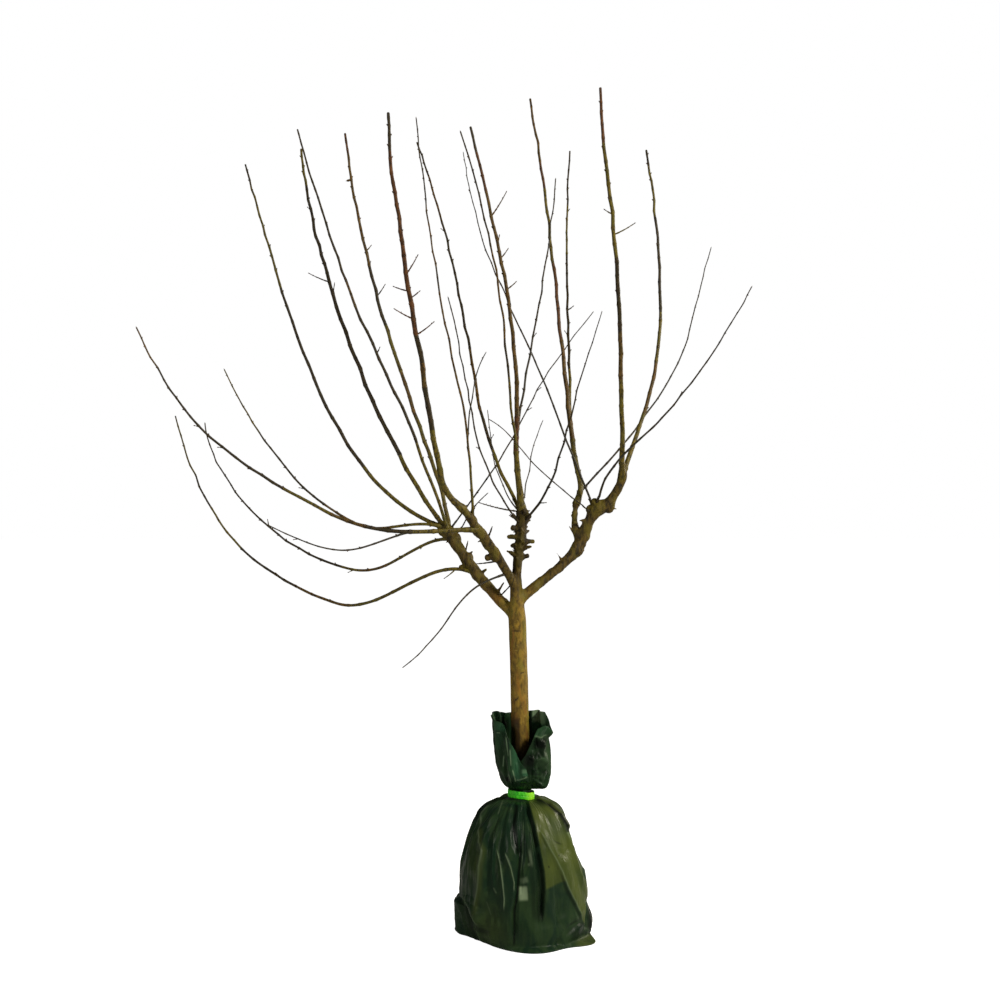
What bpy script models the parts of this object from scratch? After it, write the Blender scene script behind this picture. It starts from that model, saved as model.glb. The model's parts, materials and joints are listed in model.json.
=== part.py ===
"""Bare young tree, pruned to a vase of long shoots, on a bagged root ball.

Metres, +Z up, -Y towards the viewer. The origin is the middle of the root ball's flat underside.
Every limb is worked out from a few places and headings: it leaves its parent along one heading,
passes its stops, and tapers from its foot to its tip. Limbs end 0.3 mm clear of what carries them.
"""

import math
import random
from dataclasses import dataclass

import bmesh
import bpy
from mathutils import Vector

SEED = 7
GAP = 0.0003                # clear space left between two nodes that meet
MM = 0.001

# Root ball in its bag
NECK_HEIGHT = 0.338         # the bag is tied here, just over the soil
NECK_RADIUS = 0.036
NECK_ASIDE = -0.006         # the neck stands a little left of the ball's middle
FLAT_RADIUS = 0.140         # flat underside
HEEL_RADIUS = 0.166         # widest ring, a hand above the ground
HEEL_HEIGHT = 0.032
BELLY_RADIUS = 0.157
BELLY_HEIGHT = 0.100
BALL_SIDES = 56
BALL_PLEATS = 13
BALL_PLEAT_DEPTH = 0.0045
CORNER_SWELL = 0.008        # folded bag corner, right of the foot
CORNER_SPREAD = 0.45        # radians to each side
CORNER_HEIGHT = 0.045
EAR_RADIUS = 0.172          # squared corner, left of the foot
EAR_AT = math.radians(-172)
EAR_TOP = 0.096
FOOT_HEIGHT = 0.060
FRONT_LEFT = math.radians(-146)
FRONT_LEFT_DRAWN_IN = -0.027
SHOULDER_DRAWN_IN = -0.015  # the right shoulder is flatter than the left
SHOULDER_HEIGHT = 0.235
LEFT_SHOULDER_DRAWN_IN = -0.007
LEFT_SHOULDER_HEIGHT = 0.270
LIP_HEIGHT = 0.011
FOOT_LIPS = (               # where the film lies out on the ground: direction, spread, reach
    (math.radians(-27), 0.48, 0.040), (math.radians(-72), 0.40, 0.026),
    (math.radians(165), 0.36, 0.018))

# Gathered film above the tie
COLLAR_FOOT_RADIUS = 0.0262
COLLAR_WAIST_RADIUS = 0.063
COLLAR_TOP_RADIUS = 0.065
COLLAR_LOP_LOW = 0.014      # it hangs out to the right low down
COLLAR_LOP_TOP = -0.005     # and to the left at its top
COLLAR_TOP = 0.553
COLLAR_NOTCH = 0.105        # the front opening dips this far
COLLAR_NOTCH_AT = math.radians(-88)
COLLAR_NOTCH_SPREAD = 0.50
COLLAR_FLAP = 0.040         # the right front flap is lower than the back
COLLAR_FLAP_AT = math.radians(-25)
COLLAR_FLAP_SPREAD = 0.50
COLLAR_BULGE = 0.009        # it fills out on the right, half way up
COLLAR_FOLDS = 9
COLLAR_FOLD_DEPTH = 0.0065
COLLAR_WALL = 0.0022
COLLAR_SIDES = 54
COLLAR_RINGS = 9
COLLAR_TIED = 0.112         # share of its height inside the tape
COLLAR_SAG = 0.044          # the right side hangs down to the tape, the left side a third of that

# Tape round the neck
TAPE_INSIDE = 0.0295
TAPE_OUTSIDE = 0.0335
TAPE_HEIGHT = 0.021
TAPE_SIDES = 40

# Tubes
BOUGH_ROUNDING = 3          # bevel resolution: 10 sides
SHOOT_ROUNDING = 1          # 6 sides
SPUR_ROUNDING = 0           # 4 sides
BOUGH_STEP = 0.018          # length of one straight run
SHOOT_STEP = 0.058
WANDER = 0.0018             # how far a shoot strays from its course at a bud
LEG_SAMPLES = 48


@dataclass(frozen=True)
class Heading:
    """A direction: its lean from upright in degrees, right positive, and its slope to the back."""
    lean: float
    back: float = 0.0
    pull: float = 0.4       # how long it holds the limb, as a share of the leg

    def vector(self):
        angle = math.radians(self.lean)
        return Vector((math.sin(angle), self.back, math.cos(angle)))


@dataclass(frozen=True)
class Stop:
    """A place that a limb passes or ends at, and its heading there."""
    x: float
    y: float
    z: float
    heading: Heading

    def place(self):
        return Vector((self.x, self.y, self.z))


@dataclass(frozen=True)
class Spur:
    """A short side twig: where it stands on its limb, its heading, length and girth."""
    at: float
    heading: Heading
    length: float
    girth: float = 2.6


@dataclass(frozen=True)
class Limb:
    """A tapering limb. Girths are diameters in millimetres at shares of its length."""
    name: str
    parent: str
    at: float
    leave: Heading
    stops: tuple
    girths: tuple
    foot_back: float = 0.0
    spurs: tuple = ()
    forks: tuple = ()


class Course:
    """The centre line of a limb, read by its length."""

    def __init__(self, foot, leave, stops):
        self.points = [foot]
        start, heading = foot, leave
        for stop in stops:
            end = stop.place()
            reach = (end - start).length
            first = start + heading.vector() * heading.pull * reach
            second = end - stop.heading.vector() * stop.heading.pull * reach
            for step in range(1, LEG_SAMPLES + 1):
                self.points.append(self.blend(start, first, second, end, step / LEG_SAMPLES))
            start, heading = end, stop.heading
        self.lengths = [0.0]
        for one, two in zip(self.points, self.points[1:]):
            self.lengths.append(self.lengths[-1] + (two - one).length)
        self.length = self.lengths[-1]

    @staticmethod
    def blend(start, first, second, end, t):
        s = 1 - t
        return start * s ** 3 + first * 3 * s * s * t + second * 3 * s * t * t + end * t ** 3

    def place(self, share):
        wanted = min(max(share, 0.0), 1.0) * self.length
        for index in range(1, len(self.lengths)):
            if self.lengths[index] >= wanted:
                run = self.lengths[index] - self.lengths[index - 1]
                part = (wanted - self.lengths[index - 1]) / run
                return self.points[index - 1].lerp(self.points[index], part)
        return self.points[-1].copy()

    def heading(self, share):
        step = 0.01
        return (self.place(share + step) - self.place(share - step)).normalized()


# ---------------------------------------------------------------- the tree's limbs

TRUNK = Limb(
    "trunk", "", 0.0, Heading(0), (Stop(-0.017, 0.0, 0.860, Heading(-2)),),
    ((0.0, 46), (0.10, 45), (0.87, 44), (1.0, 31)))

BOUGHS = (
    Limb("leader", "trunk", 1.0, Heading(-1),
         (Stop(-0.003, 0.010, 1.066, Heading(-3)),),
         ((0.0, 27), (0.25, 24), (0.5, 25), (0.65, 28), (0.8, 26), (0.93, 31), (1.0, 22)),
         spurs=(
             Spur(0.37, Heading(70, 0.1), 0.027, 11), Spur(0.41, Heading(-66, -0.2), 0.033, 9),
             Spur(0.49, Heading(76, -0.3), 0.033, 9), Spur(0.53, Heading(-88, 0.3), 0.022, 12),
             Spur(0.57, Heading(84, 0.1), 0.033, 11), Spur(0.62, Heading(-82, -0.1), 0.032, 13),
             Spur(0.68, Heading(66, 0.5), 0.024, 10), Spur(0.72, Heading(-70, -0.2), 0.024, 13),
             Spur(0.77, Heading(-32, -0.1), 0.036, 5), Spur(0.80, Heading(-50, 0.2), 0.036, 5),
             Spur(0.83, Heading(-64, -0.3), 0.034, 4), Spur(0.86, Heading(62, -0.3), 0.020, 14),
             Spur(0.95, Heading(-78, -0.3), 0.112, 3))),
    Limb("bough_left_low", "trunk", 0.868, Heading(-46, 0.35),
         (Stop(-0.112, 0.050, 0.893, Heading(-41, 0.35)),
          Stop(-0.204, 0.100, 1.018, Heading(-42, 0.35))),
         ((0.0, 30), (0.3, 26), (0.6, 30), (0.82, 27), (0.93, 38), (1.0, 29)),
         spurs=(
             Spur(0.25, Heading(29, -0.3), 0.042, 7), Spur(0.23, Heading(44, 0.1), 0.050, 3),
             Spur(0.48, Heading(50, -0.4), 0.028, 9), Spur(0.59, Heading(-104, 0.1), 0.026, 13),
             Spur(0.67, Heading(50, -0.3), 0.026, 9), Spur(0.69, Heading(16, 0.2), 0.036, 4),
             Spur(0.90, Heading(-150, -0.3), 0.026, 7))),
    Limb("bough_left_high", "leader", 0.01, Heading(-26, -0.50),
         (Stop(-0.144, -0.130, 1.061, Heading(-33, -0.60, 0.45)),),
         ((0.0, 22), (0.35, 22), (0.55, 25), (0.8, 25), (1.0, 19)),
         spurs=(
             Spur(0.35, Heading(-99, 0.1), 0.056, 3.5), Spur(0.43, Heading(-115, 0.1), 0.024, 15),
             Spur(0.62, Heading(-110, 0.1), 0.020, 7), Spur(0.60, Heading(23, -0.2), 0.036, 4))),
    Limb("bough_right", "trunk", 0.942, Heading(48, 0.20, 0.44),
         (Stop(0.155, 0.040, 0.999, Heading(21, 0.10, 0.33)),),
         ((0.0, 28), (0.3, 24), (0.6, 25), (0.85, 30), (1.0, 26)),
         spurs=(Spur(0.61, Heading(-27, -0.2), 0.034, 6), Spur(0.84, Heading(112, 0.2), 0.020, 9))),
    Limb("bough_right_upper", "bough_right", 1.0, Heading(16, -0.10, 0.65),
         (Stop(0.249, 0.020, 1.138, Heading(19, -0.10, 0.65)),),
         ((0.0, 26), (0.24, 26), (0.43, 41), (0.6, 28), (0.8, 21), (1.0, 19)),
         spurs=(Spur(0.18, Heading(-80, -0.3), 0.026, 8), Spur(0.55, Heading(112, -0.3), 0.032, 6))),
    Limb("bough_right_inner", "bough_right", 0.90, Heading(-25, 0.30),
         (Stop(0.135, 0.062, 1.073, Heading(7, 0.10)),),
         ((0.0, 18), (0.3, 19), (0.6, 16), (1.0, 16)),
         spurs=(Spur(0.27, Heading(-45, -0.2), 0.026, 7),)),
)

SHOOTS = (
    # the left bough's fist
    Limb("shoot_left_outer", "bough_left_low", 0.98, Heading(-71, 0.20, 0.28),
         (Stop(-0.726, 0.200, 1.965, Heading(-16, 0.05, 0.42)),),
         ((0.0, 10), (0.2, 9), (0.6, 6.8), (1.0, 4.2))),
    Limb("shoot_left_back", "bough_left_low", 0.96, Heading(-38, 0.50, 0.32),
         (Stop(-0.600, 0.380, 2.045, Heading(-4, 0.15, 0.20)),),
         ((0.0, 11), (0.6, 9.2), (1.0, 5.6)), foot_back=0.011,
         spurs=(Spur(0.64, Heading(8, 0.3), 0.028), Spur(0.67, Heading(-66, 0.2), 0.062))),
    Limb("shoot_left_middle", "bough_left_low", 0.91, Heading(-18, -0.12, 0.50),
         (Stop(-0.573, 0.060, 2.025, Heading(-16, 0.0, 0.60)),),
         ((0.0, 8.2), (0.5, 7), (1.0, 4)), foot_back=-0.008,
         spurs=(Spur(0.45, Heading(30, -0.4), 0.016),)),
    Limb("shoot_left_inner", "bough_left_low", 0.90, Heading(-7, 0.30, 0.20),
         (Stop(-0.471, 0.260, 2.060, Heading(-8, 0.08, 0.53)),),
         ((0.0, 10), (0.5, 8.6), (1.0, 5.4)), foot_back=0.004,
         spurs=(Spur(0.60, Heading(34, 0.1), 0.036), Spur(0.71, Heading(45, -0.3), 0.018))),
    Limb("shoot_left_short", "bough_left_low", 0.86, Heading(38, 0.60),
         (Stop(-0.089, 0.160, 1.102, Heading(48, 0.50)),), ((0.0, 3.6), (1.0, 2.2))),
    Limb("shoot_crossing_right", "bough_left_low", 0.93, Heading(37, 0.10, 0.66),
         (Stop(0.190, 0.280, 1.587, Heading(38, 0.30, 0.60)),),
         ((0.0, 4), (1.0, 2.2)), foot_back=-0.006),
    Limb("shoot_arc_middle", "bough_left_low", 0.99, Heading(-74, -0.25, 0.42),
         (Stop(-0.430, 0.060, 1.028, Heading(-62, -0.12, 0.36)),
          Stop(-0.747, 0.000, 1.411, Heading(-25, -0.10, 0.33))),
         ((0.0, 7.5), (0.4, 5.4), (1.0, 2.6)), foot_back=-0.010),
    Limb("shoot_arc_back", "bough_left_low", 0.86, Heading(-87, 0.30, 0.35),
         (Stop(-0.445, 0.180, 0.904, Heading(-79, 0.25, 0.37)),
          Stop(-0.849, 0.300, 1.291, Heading(-5, 0.10, 0.25))),
         ((0.0, 7.5), (1.0, 3)), foot_back=0.004,
         spurs=(Spur(0.62, Heading(-10, 0.2), 0.016),)),
    Limb("shoot_arc_low", "bough_left_low", 0.485, Heading(-61, 0.10, 0.37),
         (Stop(-0.490, 0.120, 0.822, Heading(-70, 0.15, 0.36)),
          Stop(-0.909, 0.200, 1.305, Heading(-15, 0.10, 0.46))),
         ((0.0, 8.6), (0.4, 6.6), (1.0, 3.4)),
         spurs=(Spur(0.055, Heading(-129, -0.2), 0.036),)),
    # the front left bough
    Limb("shoot_front_tall", "bough_left_high", 1.0, Heading(-54, -0.30, 0.33),
         (Stop(-0.201, -0.170, 1.146, Heading(-9, -0.35, 0.32)),
          Stop(-0.309, -0.420, 1.951, Heading(-2, -0.22, 0.22))),
         ((0.0, 15), (0.2, 12), (0.6, 10), (1.0, 6)),
         spurs=(
             Spur(0.473, Heading(53, 0.1), 0.050), Spur(0.513, Heading(-63, -0.2), 0.048),
             Spur(0.563, Heading(56, -0.3), 0.026), Spur(0.583, Heading(-72, 0.2), 0.036),
             Spur(0.623, Heading(32, -0.1), 0.050))),
    Limb("shoot_front_second", "bough_left_high", 0.84, Heading(-2, -0.02, 0.42),
         (Stop(-0.258, -0.200, 1.992, Heading(-6, -0.08, 0.68)),),
         ((0.0, 6.8), (0.2, 5.4), (1.0, 2.6)), foot_back=0.006,
         forks=(
             Limb("fork", "", 0.20, Heading(2, 0.30, 0.45),
                  (Stop(-0.093, -0.060, 1.447, Heading(31, 0.30, 0.22)),), ((0.0, 3.6), (1.0, 2.1))),)),
    Limb("shoot_arc_front", "bough_left_high", 0.75, Heading(-90, -0.40, 0.36),
         (Stop(-0.480, -0.190, 1.062, Heading(-62, -0.12, 0.42)),
          Stop(-0.904, -0.280, 1.486, Heading(-25, -0.10, 0.44))),
         ((0.0, 11), (0.4, 7), (1.0, 3)), foot_back=-0.008,
         forks=(
             Limb("fork", "", 0.170, Heading(-106, -0.40, 0.38),
                  (Stop(-0.599, -0.320, 1.031, Heading(-62, -0.30, 0.60)),), ((0.0, 4.6), (1.0, 2.3))),)),
    Limb("shoot_hanging", "bough_left_high", 0.19, Heading(-105, -0.70, 0.42),
         (Stop(-0.288, -0.220, 0.690, Heading(-126, -0.50, 0.47)),), ((0.0, 5), (1.0, 2.2))),
    # the head of the leader
    Limb("shoot_centre", "leader", 0.95, Heading(-8, -0.08, 0.32),
         (Stop(-0.130, -0.120, 1.989, Heading(-15, -0.12, 0.70)),),
         ((0.0, 17), (0.15, 13), (0.4, 9.4), (1.0, 5.6)),
         spurs=(
             Spur(0.58, Heading(51, -0.1), 0.028), Spur(0.66, Heading(37, 0.2), 0.030),
             Spur(0.70, Heading(14, -0.4), 0.018), Spur(0.77, Heading(33, -0.2), 0.068)),
         forks=(
             Limb("fork", "", 0.16, Heading(-8, -0.35, 0.33),
                  (Stop(-0.149, -0.280, 1.941, Heading(-18, -0.12, 0.46)),), ((0.0, 6.2), (1.0, 3.2))),
             Limb("fork", "", 0.19, Heading(7, 0.25),
                  (Stop(0.086, 0.120, 1.911, Heading(5, 0.15)),), ((0.0, 6), (1.0, 2.7))))),
    Limb("shoot_centre_back", "leader", 0.93, Heading(-29, 0.45, 0.32),
         (Stop(-0.285, 0.420, 2.072, Heading(-18, 0.25, 0.60)),),
         ((0.0, 9), (0.4, 7), (1.0, 4.4)), foot_back=0.004),
    Limb("shoot_centre_front", "leader", 0.78, Heading(-38, -0.80, 0.35),
         (Stop(-0.177, -0.360, 1.545, Heading(-15, -0.45, 0.42)),), ((0.0, 4.4), (1.0, 2.3))),
    Limb("shoot_centre_right", "leader", 0.79, Heading(39, -0.60, 0.28),
         (Stop(0.177, -0.300, 1.519, Heading(17, -0.45, 0.66)),),
         ((0.0, 6), (0.4, 4.5), (1.0, 1.8)), spurs=(Spur(0.13, Heading(88, 0.1), 0.014),)),
    Limb("shoot_centre_short", "leader", 0.96, Heading(11, 0.60),
         (Stop(0.051, 0.120, 1.288, Heading(24, 0.40, 0.30)),), ((0.0, 3.2), (1.0, 1.8)),
         foot_back=0.005),
    Limb("shoot_centre_thin", "leader", 0.92, Heading(-47, 0.20, 0.31),
         (Stop(-0.089, 0.060, 1.311, Heading(-6, 0.20)),), ((0.0, 3.2), (1.0, 1.8)),
         foot_back=-0.007),
    # the right bough
    Limb("shoot_right_tall", "bough_right_upper", 1.0, Heading(-1, -0.25, 0.7),
         (Stop(0.178, -0.220, 2.058, Heading(-4, -0.20, 0.34)),),
         ((0.0, 15), (0.12, 11.5), (0.8, 8.4), (1.0, 6)),
         spurs=(Spur(0.64, Heading(62, -0.1), 0.056), Spur(0.69, Heading(-59, 0.1), 0.022)),
         forks=(
             Limb("fork", "", 0.008, Heading(22, 0.30, 0.32),
                  (Stop(0.326, 0.200, 2.003, Heading(-8, 0.12, 0.53)),), ((0.0, 13), (0.15, 9.6), (1.0, 5))),)),
    Limb("shoot_right_inner", "bough_right_inner", 1.0, Heading(24, 0.20, 0.42),
         (Stop(0.129, 0.095, 1.225, Heading(-6, 0.22, 0.45)),
          Stop(0.023, 0.280, 2.158, Heading(-9, 0.15, 0.42))),
         ((0.0, 14), (0.2, 11.5), (0.4, 8.8), (1.0, 5.2)),
         forks=(
             Limb("fork", "", 0.20, Heading(1, 0.40, 0.35),
                  (Stop(0.137, 0.460, 2.057, Heading(3, 0.15, 0.50)),), ((0.0, 7.5), (1.0, 4.2)),
                  spurs=(Spur(0.41, Heading(56, -0.2), 0.018),)),
             Limb("fork", "", 0.03, Heading(44, 0.50, 0.58),
                  (Stop(0.517, 0.360, 1.772, Heading(18, 0.30, 0.36)),), ((0.0, 5.2), (1.0, 2.2))))),
    Limb("shoot_right_wide", "bough_right_upper", 0.36, Heading(12, -0.35, 0.32),
         (Stop(0.548, -0.160, 1.596, Heading(28, -0.22, 0.73)),),
         ((0.0, 5.6), (1.0, 2.3)), foot_back=-0.004),
    Limb("shoot_crossing_left", "bough_right_upper", 0.36, Heading(-20, 0.10, 0.70),
         (Stop(-0.154, 0.240, 2.005, Heading(-9, 0.20, 0.38)),),
         ((0.0, 5.4), (1.0, 1.9)), foot_back=0.006),
    Limb("shoot_crossing_front", "bough_right_upper", 0.32, Heading(-54, -0.70, 0.76),
         (Stop(-0.082, -0.120, 1.280, Heading(-61, -0.20, 0.23)),), ((0.0, 3.2), (1.0, 1.8)),
         foot_back=-0.006),
)


# ---------------------------------------------------------------- tools

def clear_scene():
    for item in list(bpy.data.objects):
        bpy.data.objects.remove(item, do_unlink=True)


def collection(name):
    group = bpy.data.collections.new(name)
    bpy.context.scene.collection.children.link(group)
    return group


def material(name, colour, roughness):
    finish = bpy.data.materials.new(name)
    finish.use_nodes = True
    shader = finish.node_tree.nodes["Principled BSDF"]
    shader.inputs["Base Color"].default_value = (*colour, 1.0)
    shader.inputs["Roughness"].default_value = roughness
    shader.inputs["Metallic"].default_value = 0.0
    return finish


def evaluated_mesh(item):
    bpy.context.view_layer.update()
    return bpy.data.meshes.new_from_object(item.evaluated_get(bpy.context.evaluated_depsgraph_get()))


def settle(item):
    """Replace an object's mesh by what its modifiers make of it."""
    mesh = evaluated_mesh(item)
    item.modifiers.clear()
    item.data = mesh


def tidy_mesh(mesh):
    shape = bmesh.new()
    shape.from_mesh(mesh)
    bmesh.ops.remove_doubles(shape, verts=shape.verts, dist=1e-5)
    bmesh.ops.recalc_face_normals(shape, faces=shape.faces)
    shape.to_mesh(mesh)
    shape.free()


def tube(name, places, radii, rounding, group):
    """A tapering tube with flat ends, made as a bevelled curve and kept as a mesh."""
    line = bpy.data.curves.new(name, "CURVE")
    line.dimensions = "3D"
    line.bevel_depth = 1.0
    line.bevel_resolution = rounding
    line.use_fill_caps = True
    spline = line.splines.new("POLY")
    spline.points.add(len(places) - 1)
    for point, place, radius in zip(spline.points, places, radii):
        point.co = (*place, 1.0)
        point.radius = radius
    curve = bpy.data.objects.new(name + "_line", line)
    group.objects.link(curve)
    mesh = evaluated_mesh(curve)
    bpy.data.objects.remove(curve)
    tidy_mesh(mesh)
    item = bpy.data.objects.new(name, mesh)
    group.objects.link(item)
    return item


def combine(item, others, operation, solver):
    """Join or cut an object with the objects of a short-lived collection."""
    tools = collection(item.name + "_tools")
    for other in others:
        for holder in list(other.users_collection):
            holder.objects.unlink(other)
        tools.objects.link(other)
    step = item.modifiers.new(operation.lower(), "BOOLEAN")
    step.operation = operation
    step.operand_type = "COLLECTION"
    step.collection = tools
    step.solver = solver
    settle(item)
    for other in others:
        bpy.data.objects.remove(other)
    bpy.data.collections.remove(tools)


def radius_at(girths, share):
    for (low, thick), (high, thin) in zip(girths, girths[1:]):
        if share <= high:
            part = (share - low) / (high - low)
            return 0.5 * MM * (thick + (thin - thick) * part)
    return 0.5 * MM * girths[-1][1]


def foot_of(limb, courses):
    parent = courses[limb.parent]
    foot = parent.place(limb.at)
    return foot + Vector((0, limb.foot_back, 0))


# ---------------------------------------------------------------- limbs

def limb_tube(limb, course, rounding, step, wander, group, grow=0.0):
    """The limb's tube. Its runs stray a little from the course, by the seeded rule."""
    rule = random.Random(f"{SEED} {limb.name} {limb.at}")
    runs = max(3, round(course.length / step))
    places, radii = [], []
    for run in range(runs + 1):
        share = run / runs
        stray = Vector((rule.uniform(-1, 1), rule.uniform(-1, 1), 0)) * wander
        inner = min(run, runs - run, 2) / 2
        places.append(course.place(share) + stray * inner)
        radii.append(radius_at(limb.girths, share) + grow)
    if grow:
        places[0] = places[0] - course.heading(0.0) * grow
        places[-1] = places[-1] + course.heading(1.0) * grow
    return tube(limb.name, places, radii, rounding, group)


def spur_tube(limb, spur, course, group):
    """A side twig, rooted on the limb's centre line."""
    foot = course.place(spur.at)
    way = spur.heading.vector().normalized()
    turn = course.heading(spur.at)
    middle = foot + way * spur.length * 0.55 - turn * spur.length * 0.05
    tip = foot + way * spur.length + turn * spur.length * 0.10
    thick = 0.5 * MM * spur.girth
    return tube(limb.name + "_spur", (foot, middle, tip), (thick, thick * 0.8, thick * 0.55),
                SPUR_ROUNDING, group)


def growths(limb, course, group):
    """Everything that is fused to a limb: its side twigs, its forks and their side twigs."""
    made = [spur_tube(limb, spur, course, group) for spur in limb.spurs]
    for fork in limb.forks:
        line = Course(course.place(fork.at), fork.leave, fork.stops)
        made.append(limb_tube(fork, line, SHOOT_ROUNDING, SHOOT_STEP, WANDER, group))
        made.extend(growths(fork, line, group))
    return made


def boxes_meet(one, two):
    first = [one.matrix_world @ Vector(corner) for corner in one.bound_box]
    second = [two.matrix_world @ Vector(corner) for corner in two.bound_box]
    for axis in range(3):
        if max(c[axis] for c in first) < min(c[axis] for c in second):
            return False
        if max(c[axis] for c in second) < min(c[axis] for c in first):
            return False
    return True


def build_limb(limb, courses, carriers, rounding, step, wander, group):
    """One limb as a solid, cut 0.3 mm clear of the limbs that carry it."""
    course = courses[limb.name]
    item = limb_tube(limb, course, rounding, step, wander, group)
    others = growths(limb, course, group)
    if others:
        combine(item, others, "UNION", "MANIFOLD")
    cutters = []
    for carrier in carriers:
        cutter = limb_tube(carrier, courses[carrier.name], BOUGH_ROUNDING, BOUGH_STEP, 0.0, group, GAP)
        bpy.context.view_layer.update()
        if boxes_meet(item, cutter):
            cutters.append(cutter)
        else:
            bpy.data.objects.remove(cutter)
    if cutters:
        combine(item, cutters, "DIFFERENCE", "MANIFOLD")
    keep_largest(item.data)
    return item


def keep_largest(mesh):
    """Drop the scraps that a cut leaves on the far side of a limb."""
    shape = bmesh.new()
    shape.from_mesh(mesh)
    unseen = set(shape.verts)
    islands = []
    while unseen:
        island, edge = set(), [unseen.pop()]
        while edge:
            vertex = edge.pop()
            island.add(vertex)
            for link in vertex.link_edges:
                other = link.other_vert(vertex)
                if other in unseen:
                    unseen.discard(other)
                    edge.append(other)
        islands.append(island)
    islands.sort(key=len)
    scraps = [vertex for island in islands[:-1] for vertex in island]
    bmesh.ops.delete(shape, geom=scraps, context="VERTS")
    shape.to_mesh(mesh)
    shape.free()


# ---------------------------------------------------------------- root ball and bag

def turned(name, profile, sides, group):
    """A profile of (radius, height) pairs, turned round Z and kept as a mesh."""
    mesh = bpy.data.meshes.new(name)
    edges = [(index, index + 1) for index in range(len(profile) - 1)]
    mesh.from_pydata([(radius, 0, height) for radius, height in profile], edges, [])
    item = bpy.data.objects.new(name, mesh)
    group.objects.link(item)
    screw = item.modifiers.new("turn", "SCREW")
    screw.axis = "Z"
    screw.steps = screw.render_steps = sides
    screw.use_merge_vertices = True
    screw.merge_threshold = 1e-5
    settle(item)
    tidy_mesh(item.data)
    return item


def arc(start, first, second, end, steps):
    """A cubic arc in the (radius, height) plane, without its first point."""
    corners = [Vector((x, z, 0)) for x, z in (start, first, second, end)]
    return [Course.blend(*corners, step / steps).xy[:] for step in range(1, steps + 1)]


def ball_profile():
    heel = (HEEL_RADIUS, HEEL_HEIGHT)
    belly = (BELLY_RADIUS, BELLY_HEIGHT)
    neck = (NECK_RADIUS, NECK_HEIGHT)
    profile = [(0.0, 0.0), (0.5 * FLAT_RADIUS, 0.0), (FLAT_RADIUS, 0.0)]
    profile += arc(profile[-1], (0.155, 0.0), (HEEL_RADIUS, 0.012), heel, 4)
    profile += arc(heel, (HEEL_RADIUS, 0.055), (BELLY_RADIUS, 0.075), belly, 3)
    profile += arc(belly, (0.157, 0.220), (0.118, 0.349), neck, 10)
    profile += [(0.0, NECK_HEIGHT)]
    return profile


def bump(angle, centre, spread):
    """A smooth hump round one direction, 1 at its middle."""
    off = math.remainder(angle - centre, 2 * math.pi)
    return math.exp(-(off / spread) ** 2)


def swell_at(height, middle, spread):
    """A smooth hump over the height, 1 at its middle."""
    return math.exp(-((height - middle) / spread) ** 2)


def pleat(angle, count, phase):
    """Uneven gathers, between -1 and 1."""
    return 0.7 * math.sin(count * angle + phase) + 0.3 * math.sin((count + 4) * angle + 2.3 * phase)


def build_root_ball(group):
    """Soil in its bag: a flat underside, folded corners and pleats that run up to the tie."""
    item = turned("root_ball", ball_profile(), BALL_SIDES, group)
    for vertex in item.data.vertices:
        x, y, z = vertex.co
        radius = math.hypot(x, y)
        angle = math.atan2(y, x)
        rise = z / NECK_HEIGHT
        pleated = math.sin(math.pi * min(max((rise - 0.35) / 0.65, 0.0), 1.0))
        grown = BALL_PLEAT_DEPTH * pleated * pleat(angle, BALL_PLEATS, 0.4)
        grown += CORNER_SWELL * bump(angle, 0.0, CORNER_SPREAD) * swell_at(z, CORNER_HEIGHT, 0.040)
        if 0.0 < z < EAR_TOP:
            grown += max(EAR_RADIUS - radius, 0.0) * bump(angle, EAR_AT, CORNER_SPREAD)
        grown += FRONT_LEFT_DRAWN_IN * bump(angle, FRONT_LEFT, 0.55) * swell_at(z, 0, FOOT_HEIGHT)
        grown += SHOULDER_DRAWN_IN * bump(angle, 0.0, 0.70) * swell_at(z, SHOULDER_HEIGHT, 0.050)
        left_shoulder = bump(angle, math.pi, 0.80) * swell_at(z, LEFT_SHOULDER_HEIGHT, 0.060)
        grown += LEFT_SHOULDER_DRAWN_IN * left_shoulder
        for towards, spread, reach in FOOT_LIPS:
            grown += reach * bump(angle, towards, spread) * swell_at(z, 0, LIP_HEIGHT)
        if radius > NECK_RADIUS + 1e-4:
            share = min(radius / FLAT_RADIUS, 1.0)
            vertex.co.x += grown * share * math.cos(angle)
            vertex.co.y += grown * share * math.sin(angle)
        vertex.co.x += NECK_ASIDE * rise ** 2
    return item


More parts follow.
